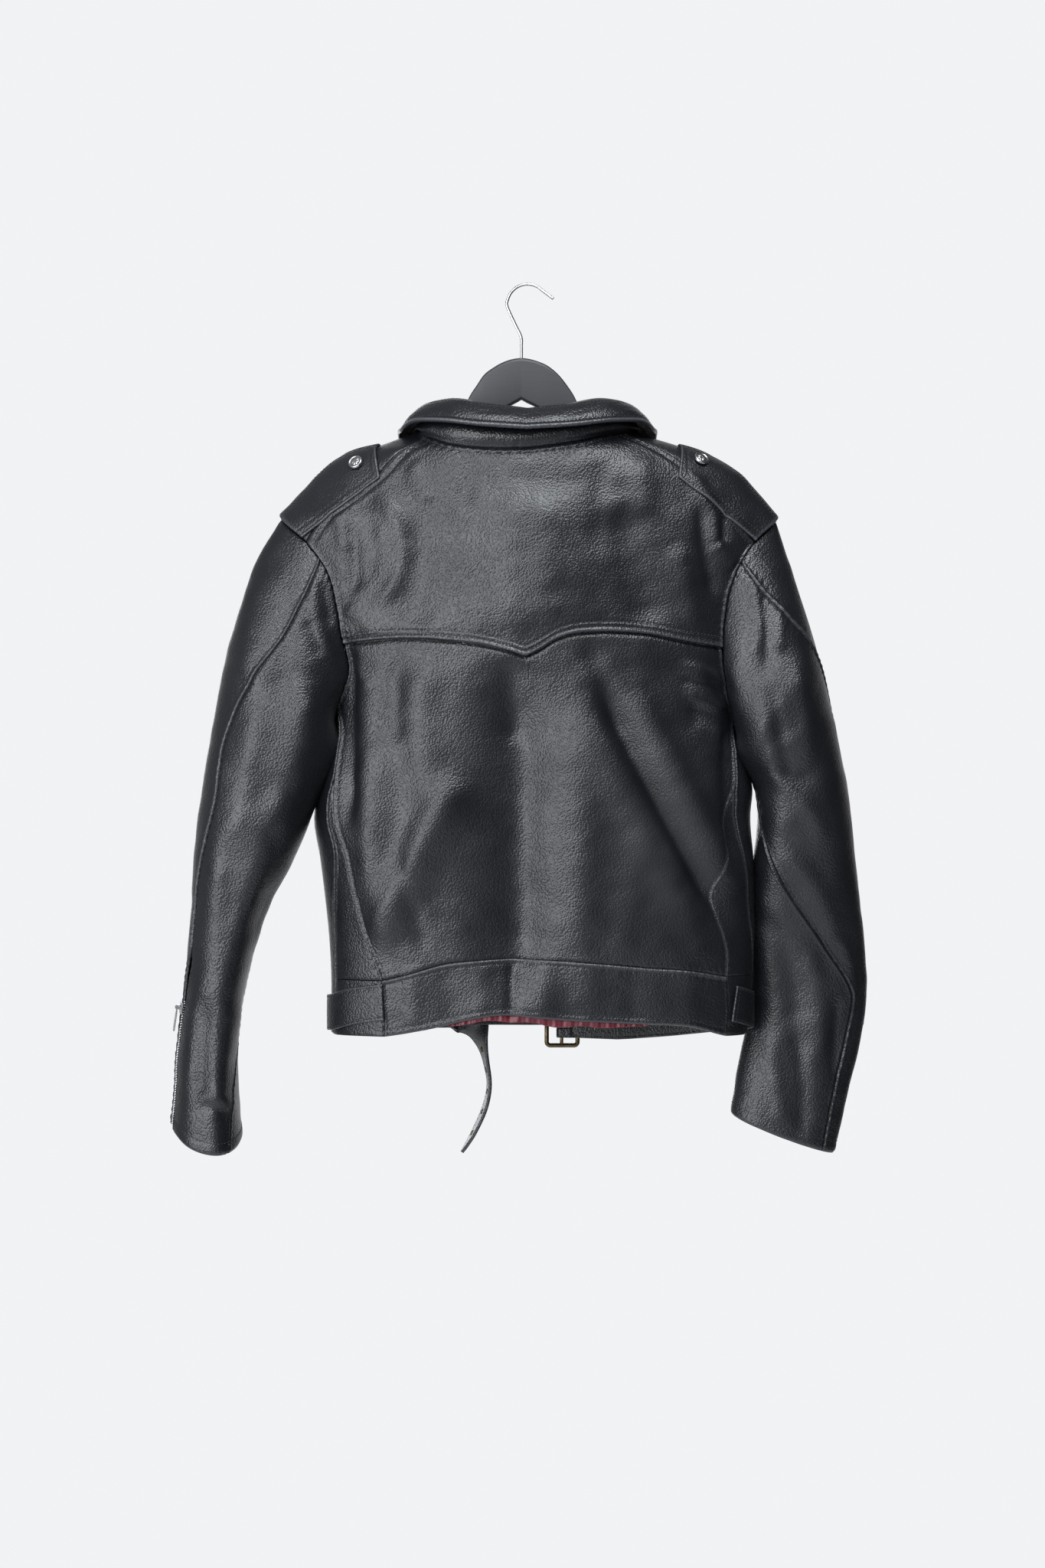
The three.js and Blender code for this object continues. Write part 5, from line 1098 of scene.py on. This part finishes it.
# It bulges out under the fall's free edge.
under_fall = collar_line(s_stand, side_stand, FREE_EDGE)
bulge = under_fall + unit((crest - under_fall) * [1, 1, 0]) * 1.5 + [0, 0, -6]
hidden = foot + unit((crest - foot) * [1, 1, 0]) * 2.0 + [0, 0, -5]
stand = Face(np.concatenate([arch(crest, bulge, foot, dense(26)[:, None, None]), hidden]),
             np.array([0, 0, -140]))
centre_seam = np.abs(stand.base[..., 0] - CENTRE_SEAM_X)
stand.shape(roll(stand.bottom, 0.9, 7.5, 1.8) + tucked(centre_seam, 1.2, 0.9)
            + roll(centre_seam, 0.6, 2.6, 1.2) + 0.5 * ripple(stand.u * 1.6, stand.v * 2.4)
            + both(stand, rounded))
sew("collar_stand_hide", stand, ["collar_stand"], wear_and_highlight=worn_and_highlit_edge(stand.bottom, 0.4, 7.0, 1.4))

# ------------------------------------------------------------------ epaulettes
# A doubled strap on each shoulder, sewn into the armhole, its pointed end held by a snap.
# Two rows of stitching run round it, 3 mm and 9 mm in.
STRAP_GAP = 1.3
STRAP_STITCHES = (3.4, 9.4)
EPAULETTES = {
    -1: {"corner": (-142, -192), "far": (-96, -168), "tip": (-140.5, -158), "snap": (-165, -178)},
    1: {"corner": (145, -191), "far": (96, -169), "tip": (144, -158), "snap": (167, -175)},
}
EPAULETTE_TURNS = (-10.0, 38.5)
EPAULETTE_OFF = 2.0
BLUNT = 3.0
strap_lift = STRAP_GAP + HIDE


def seen_straight(p, q):
    """From one spot to another, straight as seen from behind."""
    (x0, _, z0), (x1, _, z1) = body(p[0], p[1]), body(q[0], q[1])
    return pinned(lambda t: seen(mix(x0, x1, t), mix(z0, z1, t)), p, q)


for side, name in SIDE_NAMES.items():
    corner, tip = (seen(*map(float, EPAULETTES[side][label])) for label in ("corner", "tip"))
    far = np.array(EPAULETTES[side]["far"], float)
    head = lambda t: armhole(side, mix(*EPAULETTE_TURNS, t)) + [0, EPAULETTE_OFF]
    near = edge((7, seen_straight(at(head, 1), corner)),
                (3, seen_straight(corner, tip + [-side * BLUNT, -BLUNT])))
    away = edge((7, between(at(head, 0), far)), (3, between(far, tip + [side * BLUNT, 0])))
    low, high = (away, near) if side < 0 else (near, away)
    top = head if side < 0 else (lambda t: head(1 - t))
    tab = Face(patch(low, high, top, between(at(low, 1), at(high, 1)), (0.2, 0.2, 0.2, 0.2), 56, 88))
    rim = np.minimum(np.minimum(tab.left, tab.right), tab.bottom)
    tab.shape(turned(rim, 0.35, 1.9, 1.2, 1.3) + rounded(tab.top, 1.2) + roll(tab.top, 0.8, 0, 6)
              + sum(groove(rim, inset, 0.45, 0.8) for inset in STRAP_STITCHES)
              + 0.35 * ripple(tab.base[..., 0] * 1.3, tab.base[..., 2] * 1.3), lift=strap_lift)
    # The rims and head of each strap are painted grey: rubbed wear and a painted highlight on the raised
    # edges.
    sew(f"epaulette_hide_{name}", tab, [f"epaulette_{name}"], lift=strap_lift, thick=HIDE + 1.0,
        wear_and_highlight=worn_and_highlit_edge(rim, 0.9, 1.2, 0.9) + worn_and_highlit_edge(tab.top, 0.5, 1.5, 2.0))
    for inset in STRAP_STITCHES:
        for rim_side in ("left", "right"):
            stitch(tab, rim_side, inset, 0.02, 0.9)
        stitch(tab, "bottom", inset, 0.3, 0.7)

# ------------------------------------------------------------------ lining
# Dark red satin, seen only where it bags out a few millimetres below the back hem. It is cut
# full and only caught at the seams, so it gathers into fine upright creases.
LINING_TOP = -672.0
LINING_ENDS = (-78.0, 118.0)
LINING_SHOWS = 6.0
LINING_OFF = 1.2
LINING_THICK = 1.0
satin, tree, yarn = material("acetate_satin", 0.45)
warp_yarn = noise(tree, 0.5, 1.0)
rumple = node(tree, "ShaderNodeBump", values={"Strength": 0.5, "Distance": 1.5 * MM},
              links={"Height": (noise(tree, 9.0, 2.0), "Fac")})
weave = node(tree, "ShaderNodeBump", values={"Strength": 0.3, "Distance": 0.1 * MM},
             links={"Height": (warp_yarn, "Fac"), "Normal": (rumple, "Normal")})
dye = blend(tree, warp_yarn, "#4a1019", "#6b1a28")
tree.links.new(dye.outputs["Result"], yarn.inputs["Base Color"])
tree.links.new(weave.outputs["Normal"], yarn.inputs["Normal"])
yarn.inputs["Sheen Weight"].default_value = 0.1


def lining_foot(t):
    """The lining's lower edge: below the hem by its bag, which is deepest between the ends."""
    bag = LINING_SHOWS * np.sqrt(np.abs(sin(180 * t))) + 1.1 * sin(1490 * t) * sin(180 * t)
    return back_hem(mix(*LINING_ENDS, t)) - np.stack([0 * t, bag], -1)


lining_top = lambda t: seen(mix(*LINING_ENDS, t), LINING_TOP)
lining = Face(patch(*(between(at(lining_top, end), at(lining_foot, end)) for end in (0, 1)),
                    lining_top, lining_foot, (0.0, 0.0, 0.0, 0.0), 200, 24))
creases = 0.7 * sin(lining.u * 360 / 13 + 40 * sin(lining.v * 9)) + 0.4 * sin(lining.u * 360 / 5.2)
lining.shape(creases * ease(lining.v / 60), lift=-HIDE - LINING_OFF)
sew("lining_satin", lining, ["lining_back"], lift=-HIDE - LINING_OFF, thick=LINING_THICK,
    cloth=satin)

# ------------------------------------------------------------------ belts
# Two waist belts of doubled hide, sewn in at the side-back seams. The left one's pointed end
# hangs free and has brass eyelets; the right one's end loops round the buckle's bar.
BELT_WIDTH = 35.0
BELT_THICK = 3.0
LOOP_THICK = 2.5
LOOP_HALF = 14.0
SLOT_HALF = 3.5
BELT_OFF = STRAP_GAP + BELT_THICK / 2
BELT_STITCH = 0.85  # each row's share of the half width
UP = np.array([0.0, 0.0, 1.0])
# A quarter of the section: shares of the half width and of the thickness, dipped at the stitches.
QUARTER = np.array([(1, 0.2), (0.985, 0.4), (0.95, 0.49), (0.89, 0.48), (0.85, 0.38), (0.81, 0.48),
                    (0.6, 0.51), (0.2, 0.53)])
BELT_SECTION = np.concatenate([QUARTER, QUARTER[::-1] * [-1, 1], QUARTER * [-1, -1],
                               QUARTER[::-1] * [1, -1]])


def loft(rings):
    """Points and quads of a bar through equal rings, each end closed by pairing its points."""
    count, size = rings.shape[:2]
    ids = np.arange(count * size).reshape(count, size)
    i = np.arange(size // 2 - 1)
    caps = [np.stack([r[i], r[i + 1], r[size - 2 - i], r[size - 1 - i]], -1) for r in (ids[0], ids[-1])]
    around = grid_faces(np.concatenate([ids, ids[:, :1]], 1))
    return rings.reshape(-1, 3), np.concatenate([around, caps[0][:, ::-1], caps[1]])


def joined(parts):
    """Several sets of points and quads as one."""
    starts = np.cumsum([0] + [len(points) for points, _ in parts[:-1]])
    return np.concatenate([p for p, _ in parts]), np.concatenate([q + s for (_, q), s in zip(parts, starts)])


def strap(centre, wide, half, thick):
    """Rings of a strap: its section across each row, its thickness square to its run and width."""
    along = unit(np.gradient(centre, axis=0))
    across = unit(wide - along * (wide * along).sum(-1, keepdims=True))
    out = np.cross(along, across)
    return (centre[:, None] + across[:, None] * BELT_SECTION[:, :1] * half[:, None, None]
            + out[:, None] * BELT_SECTION[:, 1:] * thick)


def off_body(phi, z, lift):
    """A point this far off the smooth body, and the direction out."""
    out = body_out(phi, z, 0.5, 2)
    return body(phi, z) + out * np.asarray(lift)[..., None], out


belt_middle = {
    -1: smooth([(48, -698.5), (63, -703.5), (75, -709), (90, -711), (120, -712), (160, -712)], 1),
    1: smooth([(64, -700.5), (75, -705), (90, -708.5), (120, -714), (150, -722), (170, -726)], 1),
}
# First and last angle from the middle of the back, and rows between them.
BELT_RUNS = {-1: (47.5, 155, 150), 1: (64.6, 158, 140)}
# The free end: step; x y z; turn of its width from upright; half width.
TAIL = [(0, -66, 57, -716, 0, 17.5), (1, -54, 60, -727, 20, 17.5), (2, -46, 62, -745, 50, 17.5),
        (3, -41, 62, -765, 75, 17.5), (4, -38, 61, -787, 88, 17.5), (5, -42, 60, -809, 92, 17.5),
        (6, -52, 60, -832, 90, 17.5), (7, -60, 60, -846, 90, 11), (8, -65, 60, -854, 90, 2)]
TAIL_ROWS = 90


def belt_run(side):
    """Centres of a belt round the body."""
    phi = np.linspace(*BELT_RUNS[side])
    return off_body(side * phi, belt_middle[side](phi), BELT_OFF)[0]


def travel_of(points):
    """How far along a line of points each of them is."""
    return np.concatenate([[0], np.cumsum(np.linalg.norm(np.diff(points, axis=0), axis=1))])


def strap_piece(name, node_name, parts, length):
    """One belt: its lofted parts, brighter where the edges rub; the length it is given is not used."""
    points, quads = joined([loft(rings) for rings in parts])
    edge_wear = np.tile(0.35 * (np.abs(BELT_SECTION[:, 0]) > 0.94), len(points) // len(BELT_SECTION))
    piece = mesh_piece(name, points, quads, hide, {"wear_and_highlight": edge_wear, "matt": 0 * edge_wear})
    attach(piece, "root")
    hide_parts(node_name)


def belt_stitches(rings, last):
    """Notes the rows of stitches along both faces of a strap, up to a share of its length."""
    rings = rings[:int(last * len(rings))]
    for face in (1, -1):
        for share in (BELT_STITCH, -BELT_STITCH):
            miss = np.abs(BELT_SECTION[:, 0] - share)
            here, behind = (rings[:, np.argmin(miss + 4 * (BELT_SECTION[:, 1] * way < 0))]
                            for way in (face, -face))
            thread_runs.append((here, unit(here - behind)))


tail_xyz = np.stack([smooth(TAIL, k)(np.linspace(0, 8, TAIL_ROWS)) for k in (1, 2, 3)], -1)
tail_turn, tail_half = (smooth(TAIL, k)(np.linspace(0, 8, TAIL_ROWS)) for k in (4, 5))
left_run = belt_run(-1)
left_centre = np.concatenate([left_run, tail_xyz])
tail_wide = np.stack([sin(tail_turn) * 0.08, -sin(tail_turn), cos(tail_turn)], -1)
left_wide = np.concatenate([np.tile(UP, (len(left_run), 1)), tail_wide])
left_half = np.concatenate([np.full(len(left_run), BELT_WIDTH / 2), tail_half])
left_rings = strap(left_centre, left_wide, left_half, BELT_THICK)
strap_piece("belt_hide_left", "belt_left", [left_rings], float(travel_of(left_centre)[-1]) * MM)
belt_stitches(left_rings, 0.94)

BUCKLE = {"left": 17.0, "right": 52.0, "low": -750.0, "high": -702.0, "y": 60.0, "bar": 2.2,
          "corner": 3.5, "post": 34.0}
BUCKLE_MID = (BUCKLE["low"] + BUCKLE["high"]) / 2
LOOP_RADIUS = BUCKLE["bar"] + 0.6 + LOOP_THICK / 2
LOOP_LENGTH = 0.03  # metres of hide that the loop takes
turn = -90 - 180 * np.linspace(0, 1, 24)
wrap = np.stack([BUCKLE["post"] + LOOP_RADIUS * cos(turn), BUCKLE["y"] + LOOP_RADIUS * sin(turn),
                 np.full(24, BUCKLE_MID)], -1)
lead = np.array([(50, 52.4, BUCKLE_MID), (42, 54.2, BUCKLE_MID)])
back_end = np.array([(41.5, BUCKLE["y"] + LOOP_RADIUS - 0.2, BUCKLE_MID)])
to_loop = np.concatenate([belt_run(1), lead])
to_half = np.full(len(to_loop), BELT_WIDTH / 2)
to_half[-len(lead):] = LOOP_HALF
right_rings = strap(to_loop, np.tile(UP, (len(to_loop), 1)), to_half, BELT_THICK)
strip_half = (LOOP_HALF - SLOT_HALF) / 2
loops = []
for way in (-1, 1):
    path = np.concatenate([lead, wrap, back_end]) + UP * way * (SLOT_HALF + strip_half)
    loops.append(strap(path, np.tile(UP, (len(path), 1)), np.full(len(path), strip_half), LOOP_THICK))
strap_piece("belt_hide_right", "belt_right", [right_rings, *loops],
            float(travel_of(to_loop)[-1]) * MM + LOOP_LENGTH)
belt_stitches(right_rings, 0.97)
for rings in (left_rings, right_rings):
    for first in (2, 18):  # the row across each sewn-in end, on one face and on the other
        across_end = rings[3, first:first + 13]
        thread_runs.append((across_end, np.tile(unit(across_end[6] - rings[3].mean(0)), (13, 1))))

# ------------------------------------------------------------------ metal
# Aged brass for the buckle and eyelets: cast or pressed, darkened, bright where it is rubbed.
# Nickel plate for zips and snaps, bright zinc plate for the hanger's wire.
FORWARD = np.array([0.0, 1.0, 0.0])
EYELET_RADIUS, EYELET_WIRE = 2.6, 0.6
EYELETS = (0.30, 0.42, 0.54, 0.66, 0.78)  # their places down the free end


def plated(name, dark, light, rough_low, rough_high, patch_mm):
    """A metal that is dull and dark in patches, with fine wear on its polish."""
    metal, tree, shader = material(name)
    tarnish = noise(tree, patch_mm, 4.0)
    polish = ranged(tree, tarnish, rough_high, rough_low)
    shader.inputs["Metallic"].default_value = 1.0
    tree.links.new(blend(tree, tarnish, dark, light).outputs["Result"], shader.inputs["Base Color"])
    tree.links.new(polish.outputs["Result"], shader.inputs["Roughness"])
    return metal


brass = plated("aged_brass", "#2a251f", "#7d6c50", 0.28, 0.5, 6.0)
nickel = plated("dull_nickel_plate", "#8d8d8f", "#c9c9ca", 0.18, 0.4, 4.0)
zinc = plated("bright_zinc_plate", "#b4b5b7", "#d8d9da", 0.24, 0.34, 40.0)


def bar(path, radius, up, sides=16, closed=False):
    """Rings of a round bar along a path."""
    ahead = np.roll(path, -1, 0) - np.roll(path, 1, 0) if closed else np.gradient(path, axis=0)
    along = unit(ahead)
    first = unit(up - along * (up * along).sum(-1, keepdims=True))
    second = np.cross(along, first)
    turn = (np.arange(sides) * 360 / sides)[:, None]
    return path[:, None] + radius * (first[:, None] * cos(turn) + second[:, None] * sin(turn))


def ring_loft(rings):
    """Points and quads of a bar that closes on itself."""
    count, size = rings.shape[:2]
    ids = np.arange(count * size).reshape(count, size)
    ids = np.concatenate([ids, ids[:1]], 0)
    return rings.reshape(-1, 3), grid_faces(np.concatenate([ids, ids[:, :1]], 1))


def fitting(name, parts, cover, slot, *nodes):
    """Makes one piece from its parts in one material, and hides the parts it stands for."""
    points, quads = joined(parts)
    piece = mesh_piece(name, points, quads, cover)
    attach(piece, "root")
    if nodes:
        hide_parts(*nodes)


inset = BUCKLE["corner"] + BUCKLE["bar"]
frame_x = (BUCKLE["right"] - inset, BUCKLE["left"] + inset)
frame_z = (BUCKLE["high"] - inset, BUCKLE["low"] + inset)
corners = []
for quarter, (i, k) in enumerate(((0, 0), (1, 0), (1, 1), (0, 1))):
    turn = 90 * quarter + np.linspace(0, 90, 12)
    corners.append(np.stack([frame_x[i] + BUCKLE["corner"] * cos(turn), np.full(12, BUCKLE["y"]),
                             frame_z[k] + BUCKLE["corner"] * sin(turn)], -1))
post_path = np.stack([np.full(8, BUCKLE["post"]), np.full(8, BUCKLE["y"]),
                      np.linspace(BUCKLE["low"] + BUCKLE["bar"], BUCKLE["high"] - BUCKLE["bar"], 8)], -1)
fitting("buckle_cast_frame",
        [ring_loft(bar(np.concatenate(corners), BUCKLE["bar"], FORWARD, closed=True)),
         loft(bar(post_path, BUCKLE["bar"] * 0.8, FORWARD))], brass, "antique_brass", "buckle_frame")

# Eyelets down the belt's free end, on both faces.
eyelets = []
for share in EYELETS:
    k = len(left_run) + int(share * (TAIL_ROWS - 1))
    along = unit(left_centre[k + 1] - left_centre[k - 1])
    across = unit(left_wide[k] - along * (left_wide[k] @ along))
    out = np.cross(along, across)
    turn = np.linspace(0, 360, 24, endpoint=False)[:, None]
    for face in (-1, 1):
        hoop = (left_centre[k] + out * face * (BELT_THICK * 0.53)
                + EYELET_RADIUS * (along * cos(turn) + across * sin(turn)))
        eyelets.append(ring_loft(bar(hoop, EYELET_WIRE, out, sides=8, closed=True)))
fitting("belt_eyelets", eyelets, brass, "antique_brass")

# ------------------------------------------------------------------ zips
# Metal teeth in two rows that mesh, one tooth every 2.5 mm, on a woven black tape.
TOOTH_PITCH = 2.5
CHAIN_THICK = 2.4
CHAIN_SINK = -0.8
TOOTH_WIDE = CHAIN_WIDTH * 0.5
TOOTH_LONG = TOOTH_PITCH * 0.44
TOOTH_ASIDE = CHAIN_WIDTH * 0.22
# A tooth from above, in shares of its width and length; then its levels from foot to top, in
# shares of its thickness, and how far it narrows at each.
TOOTH = np.array([(-0.5, -0.34), (-0.42, -0.5), (0.42, -0.5), (0.5, -0.34),
                  (0.5, 0.34), (0.42, 0.5), (-0.42, 0.5), (-0.5, 0.34)])
TOOTH_LEVELS = np.array([-0.5, 0.36, 0.5])[:, None, None]
TOOTH_NARROW = np.array([1.0, 1.0, 0.72])[:, None, None]
TAPE = np.array([(1, 0.3), (1, 0.5), (-1, 0.5), (-1, 0.3)])
tape_weave, tree, weft = material("woven_cotton_tape", 0.9)
ribs = node(tree, "ShaderNodeBump", values={"Strength": 0.6, "Distance": 0.3 * MM},
            links={"Height": (noise(tree, 0.8, 1.0), "Fac")})
tree.links.new(ribs.outputs["Normal"], weft.inputs["Normal"])
weft.inputs["Base Color"].default_value = linear("#101012")


def placed(values, travel, where):
    """A line's points or directions, read off at other places along it."""
    return np.stack([np.interp(where, travel, values[:, k]) for k in range(3)], -1)


def zip_chain(name, centre, out):
    """Teeth and tape along a line of points with their directions out."""
    travel = travel_of(centre)
    where = np.arange(TOOTH_PITCH / 2, travel[-1], TOOTH_PITCH / 2)
    middle, up = placed(centre, travel, where), unit(placed(out, travel, where))
    along = unit(placed(centre, travel, where + 0.5) - placed(centre, travel, where - 0.5))
    across = np.cross(along, up)
    tape = middle[:, None] + across[:, None] * TAPE[:, :1] * CHAIN_WIDTH / 2 - up[:, None] * TAPE[:, 1:]
    way = np.where(np.arange(len(where)) % 2 == 0, 1.0, -1.0)[:, None]
    outline = TOOTH_NARROW * TOOTH * [TOOTH_WIDE, TOOTH_LONG]
    middle, up, across, along = (part[:, None, None] for part in (
        middle + across * way * TOOTH_ASIDE, up, across, along))
    teeth = (middle + up * TOOTH_LEVELS * CHAIN_THICK + across * outline[..., :1]
             + along * outline[..., 1:])
    fitting(name + "_teeth", [loft(tooth) for tooth in teeth], nickel, "nickel", name)
    fitting(name + "_tape", [loft(tape)], tape_weave, "leather")


z_zip = np.linspace(ZIP_BREAK[1] - 8, ZIP_FOOT + 4, 160)
zip_chain("main_zip", *off_body(front_angle(zip_x(z_zip), z_zip, 1), z_zip, CHAIN_SINK))


def off_sleeve(side, turn, row, lift):
    """A point this far off the sleeve, and the direction out."""
    round_it = sleeve(side, turn + 1.0, row) - sleeve(side, turn - 1.0, row)
    below = np.minimum(row + 0.1, SLEEVE_END)
    out = unit(np.cross(round_it, sleeve(side, turn, below) - sleeve(side, turn, below - 0.2))) * side
    return sleeve(side, turn, row) + out * lift, out


cuff_row = np.linspace(ZIP_TOP_ROW + 0.15, SLEEVE_END - 0.06, 120)
for side, name in SIDE_NAMES.items():
    back_turn = sleeve_curves[side][7](cuff_row)
    zip_chain(f"cuff_zip_{name}", *off_sleeve(side, back_turn, cuff_row, CHAIN_SINK))

# Sliders and pull tabs keep their own solids, die cast in the same plate, as does the prong.
OWN_SOLIDS = {
    "main_zip_slider": nickel, "main_zip_pull": nickel, "cuff_zip_slider_left": nickel,
    "cuff_zip_slider_right": nickel, "cuff_zip_pull_left": nickel, "cuff_zip_pull_right": nickel,
    "buckle_prong": brass,
}
for node_name, metal in OWN_SOLIDS.items():
    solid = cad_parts[node_name]
    solid.data.materials.clear()
    solid.data.materials.append(metal)

# ------------------------------------------------------------------ snaps
# A pressed nickel cap on each epaulette: a raised rim round a domed field of eight petals.
SNAP_OFF = 1.3
# Radius and height, from the middle of the dome out to the rim, down, and back under it.
PROFILE = np.array([(0.02, 3.2), (1.2, 3.3), (2.4, 3.15), (3.4, 2.9), (4.4, 2.6), (5.1, 2.45), (5.5, 2.7),
                    (6.0, 3.0), (6.5, 2.95), (7.0, 2.4), (7.4, 1.4), (7.4, 0.2), (6.8, 0.0), (0.02, 0.0)])
turn = np.linspace(0, 360, 97)[:-1]
radius, level = PROFILE[:, :1], PROFILE[:, 1:]
petal = 0.35 * (0.5 + 0.5 * cos(8 * turn)) * np.exp(-((radius - 3.0) / 1.3) ** 2) * (level > 1)
for side, name in SIDE_NAMES.items():
    x, z = map(float, EPAULETTES[side]["snap"])
    foot, out = off_body(back_angle(x, z), np.array(z), np.array(strap_lift + SNAP_OFF))
    first = unit(np.cross(out, UP))
    second = np.cross(out, first)
    cap = (foot + (radius * cos(turn))[..., None] * first + (radius * sin(turn))[..., None] * second
           + (level + petal)[..., None] * out)
    fitting(f"snap_cap_{name}", [loft(cap)], nickel, "nickel", f"epaulette_snap_{name}")

# ------------------------------------------------------------------ hanger
# A flat board of beech sawn to a hump and two sloping arms, its edges rounded over, sprayed
# satin black, with a notch under the hump. The hook is bent from 3 mm wire.
WOOD_THICK = 12.0
WOOD_EDGE = 3.5
WOOD_END = 6.0
ARM_SEAT = 6.0
ARM_TALL = 19.0
lacquer, tree, paint = material("satin_black_lacquer", 0.48)
streaks = node(tree, "ShaderNodeMapping", values={"Scale": (60, 60, 900)},
               links={"Vector": (node(tree, "ShaderNodeTexCoord"), "Object")})
pore = node(tree, "ShaderNodeTexNoise", values={"Scale": 1.0, "Detail": 3.0},
            links={"Vector": (streaks, "Vector")})
telegraph = node(tree, "ShaderNodeBump", values={"Strength": 0.25, "Distance": 0.15 * MM},
                 links={"Height": (pore, "Fac")})
tree.links.new(blend(tree, pore, "#222326", "#2d2e31").outputs["Result"], paint.inputs["Base Color"])
tree.links.new(telegraph.outputs["Normal"], paint.inputs["Normal"])

# The hump in the board's upper line and the notch in its lower one, as x and z.
HUMP = [(-62, -119), (-56, -107), (-50, -98), (-44, -89), (-33, -80), (-20, -73.5), (-6, -71), (8, -73.5),
        (22, -80), (32, -89), (39, -98), (45, -107), (51, -119)]
NOTCH = [(-60, -128), (-30, -124.5), (-24, -121.6), (-9, -113.6), (-6, -112.0), (-3, -113.6),
         (6, -118), (10.7, -120.5), (50, -128)]
RIDGE = np.array([-147.0, -156, -166, -176, -188, -202])


def ridge_below(side, depth):
    """Points this far under the ridge of a shoulder."""
    line = half_left if side < 0 else half_right
    slope = unit(np.stack([line(RIDGE - 2) - line(RIDGE + 2), np.full(6, -4.0)], -1))
    return np.stack([side * (line(RIDGE) + slope[:, 1] * depth), RIDGE - slope[:, 0] * depth], -1)


arm_top = {side: ridge_below(side, ARM_SEAT) for side in SIDES}
arm_under = {side: ridge_below(side, ARM_SEAT + ARM_TALL) for side in SIDES}
top_line = smooth(np.concatenate([arm_top[-1], HUMP, arm_top[1]]), 1)
under_line = smooth(np.concatenate([arm_under[-1], NOTCH, arm_under[1]]), 1)
x_arm = np.concatenate([np.linspace(arm_under[-1][-1, 0] + 0.5, -70, 60), np.linspace(-69, 60, 200),
                        np.linspace(61, arm_under[1][-1, 0] - 0.5, 60)])
high, low = top_line(x_arm), under_line(x_arm)
from_end = np.minimum(x_arm - x_arm[0], x_arm[-1] - x_arm)
end_round = np.sqrt(np.clip(1 - (np.maximum(WOOD_END - from_end, 0) / WOOD_END) ** 2, 0.02, 1))
centre_z, half_z = (high + low) / 2, (high - low) / 2 * end_round
# Its section: four rounded corners, each as far in from the flat sides.
quarter = np.linspace(0, 90, 7)
corner_y, corner_z = WOOD_EDGE * (cos(quarter) - 1), WOOD_EDGE * (sin(quarter) - 1)
half_y = WOOD_THICK / 2 + corner_y
loop_y = np.concatenate([half_y, -half_y[::-1], -half_y, half_y[::-1]])
loop_up = np.concatenate([np.ones(14), -np.ones(14)])
loop_z = np.concatenate([corner_z, corner_z[::-1], -corner_z, -corner_z[::-1]])
board = np.stack(np.broadcast_arrays(x_arm[:, None], loop_y[None, :],
                                     centre_z[:, None] + loop_up * half_z[:, None] + loop_z), -1)
fitting("hanger_board", [loft(board)], lacquer, "black_wood", "hanger_wood")

WIRE = 3.0
HOOK_RADIUS = 20.0
crown = -HOOK_RADIUS + WIRE / 2
# Rows of step, x and z: up the shank, round the crown and down to the tip.
arc = [(4 + k, HOOK_RADIUS * float(cos(t)), crown + HOOK_RADIUS * float(sin(t)))
       for k, t in enumerate((185, 165, 145, 125, 105, 90, 75, 60, 45))]
hook_rows = [(0, -6, -72), (1, -6, -60), (2, -6.4, -50), (3, -12, -38), *arc, (13, 25.4, -12.8)]
s = np.linspace(0, 13, 180)
hook_path = np.stack([smooth(hook_rows, 1)(s), 0 * s, smooth(hook_rows, 2)(s)], -1)
fitting("hook_wire_bend", [loft(bar(hook_path, WIRE / 2, FORWARD))], zinc, "hook_wire", "hanger_hook")

# ------------------------------------------------------------------ stitching
# Bonded thread in stitches 2.9 mm long, one every 3.8 mm, laid in the rows noted above. Each
# is a six-sided spindle, full in the middle, its ends sunk into the hide.
# Its rings: place along it, radius as a share of STITCH_THICK, and height off the hide in mm.
SPINDLE = np.array([(-0.5, 0.12, -0.35), (-0.3, 0.92, 0.15), (0.3, 0.92, 0.15), (0.5, 0.12, -0.35)])
SPINDLE_SIDES = 6
rows = []
for points, normals in thread_runs:
    travel = travel_of(points)
    where = np.arange(STITCH_PITCH / 2, travel[-1], STITCH_PITCH)
    ahead = placed(points, travel, where + 1) - placed(points, travel, where - 1)
    rows.append((placed(points, travel, where), unit(ahead), unit(placed(normals, travel, where))))
centre, along, up = (np.concatenate(part)[:, None, None] for part in zip(*rows))
around = np.arange(SPINDLE_SIDES) * 360 / SPINDLE_SIDES
reach_at, radius, height = (SPINDLE[:, k, None] for k in range(3))
beside, above = radius * STITCH_THICK * cos(around), radius * STITCH_THICK * sin(around) + height
spindles = (centre + along * (reach_at * STITCH_LONG)[..., None]
            + np.cross(along, up) * beside[..., None] + up * above[..., None])
ids = np.arange(spindles[..., 0].size).reshape(spindles.shape[:3])
ring = np.concatenate([ids, ids[..., :1]], -1)
quads = np.stack([ring[:, :-1, :-1], ring[:, :-1, 1:], ring[:, 1:, 1:], ring[:, 1:, :-1]], -1)
caps = np.concatenate([ids[:, 0, [0, 3, 2, 1]], ids[:, 0, [0, 5, 4, 3]],
                       ids[:, 3, [0, 1, 2, 3]], ids[:, 3, [0, 3, 4, 5]]])
fitting("topstitching", [(spindles.reshape(-1, 3), np.concatenate([quads.reshape(-1, 4), caps]))],
        thread, "leather")
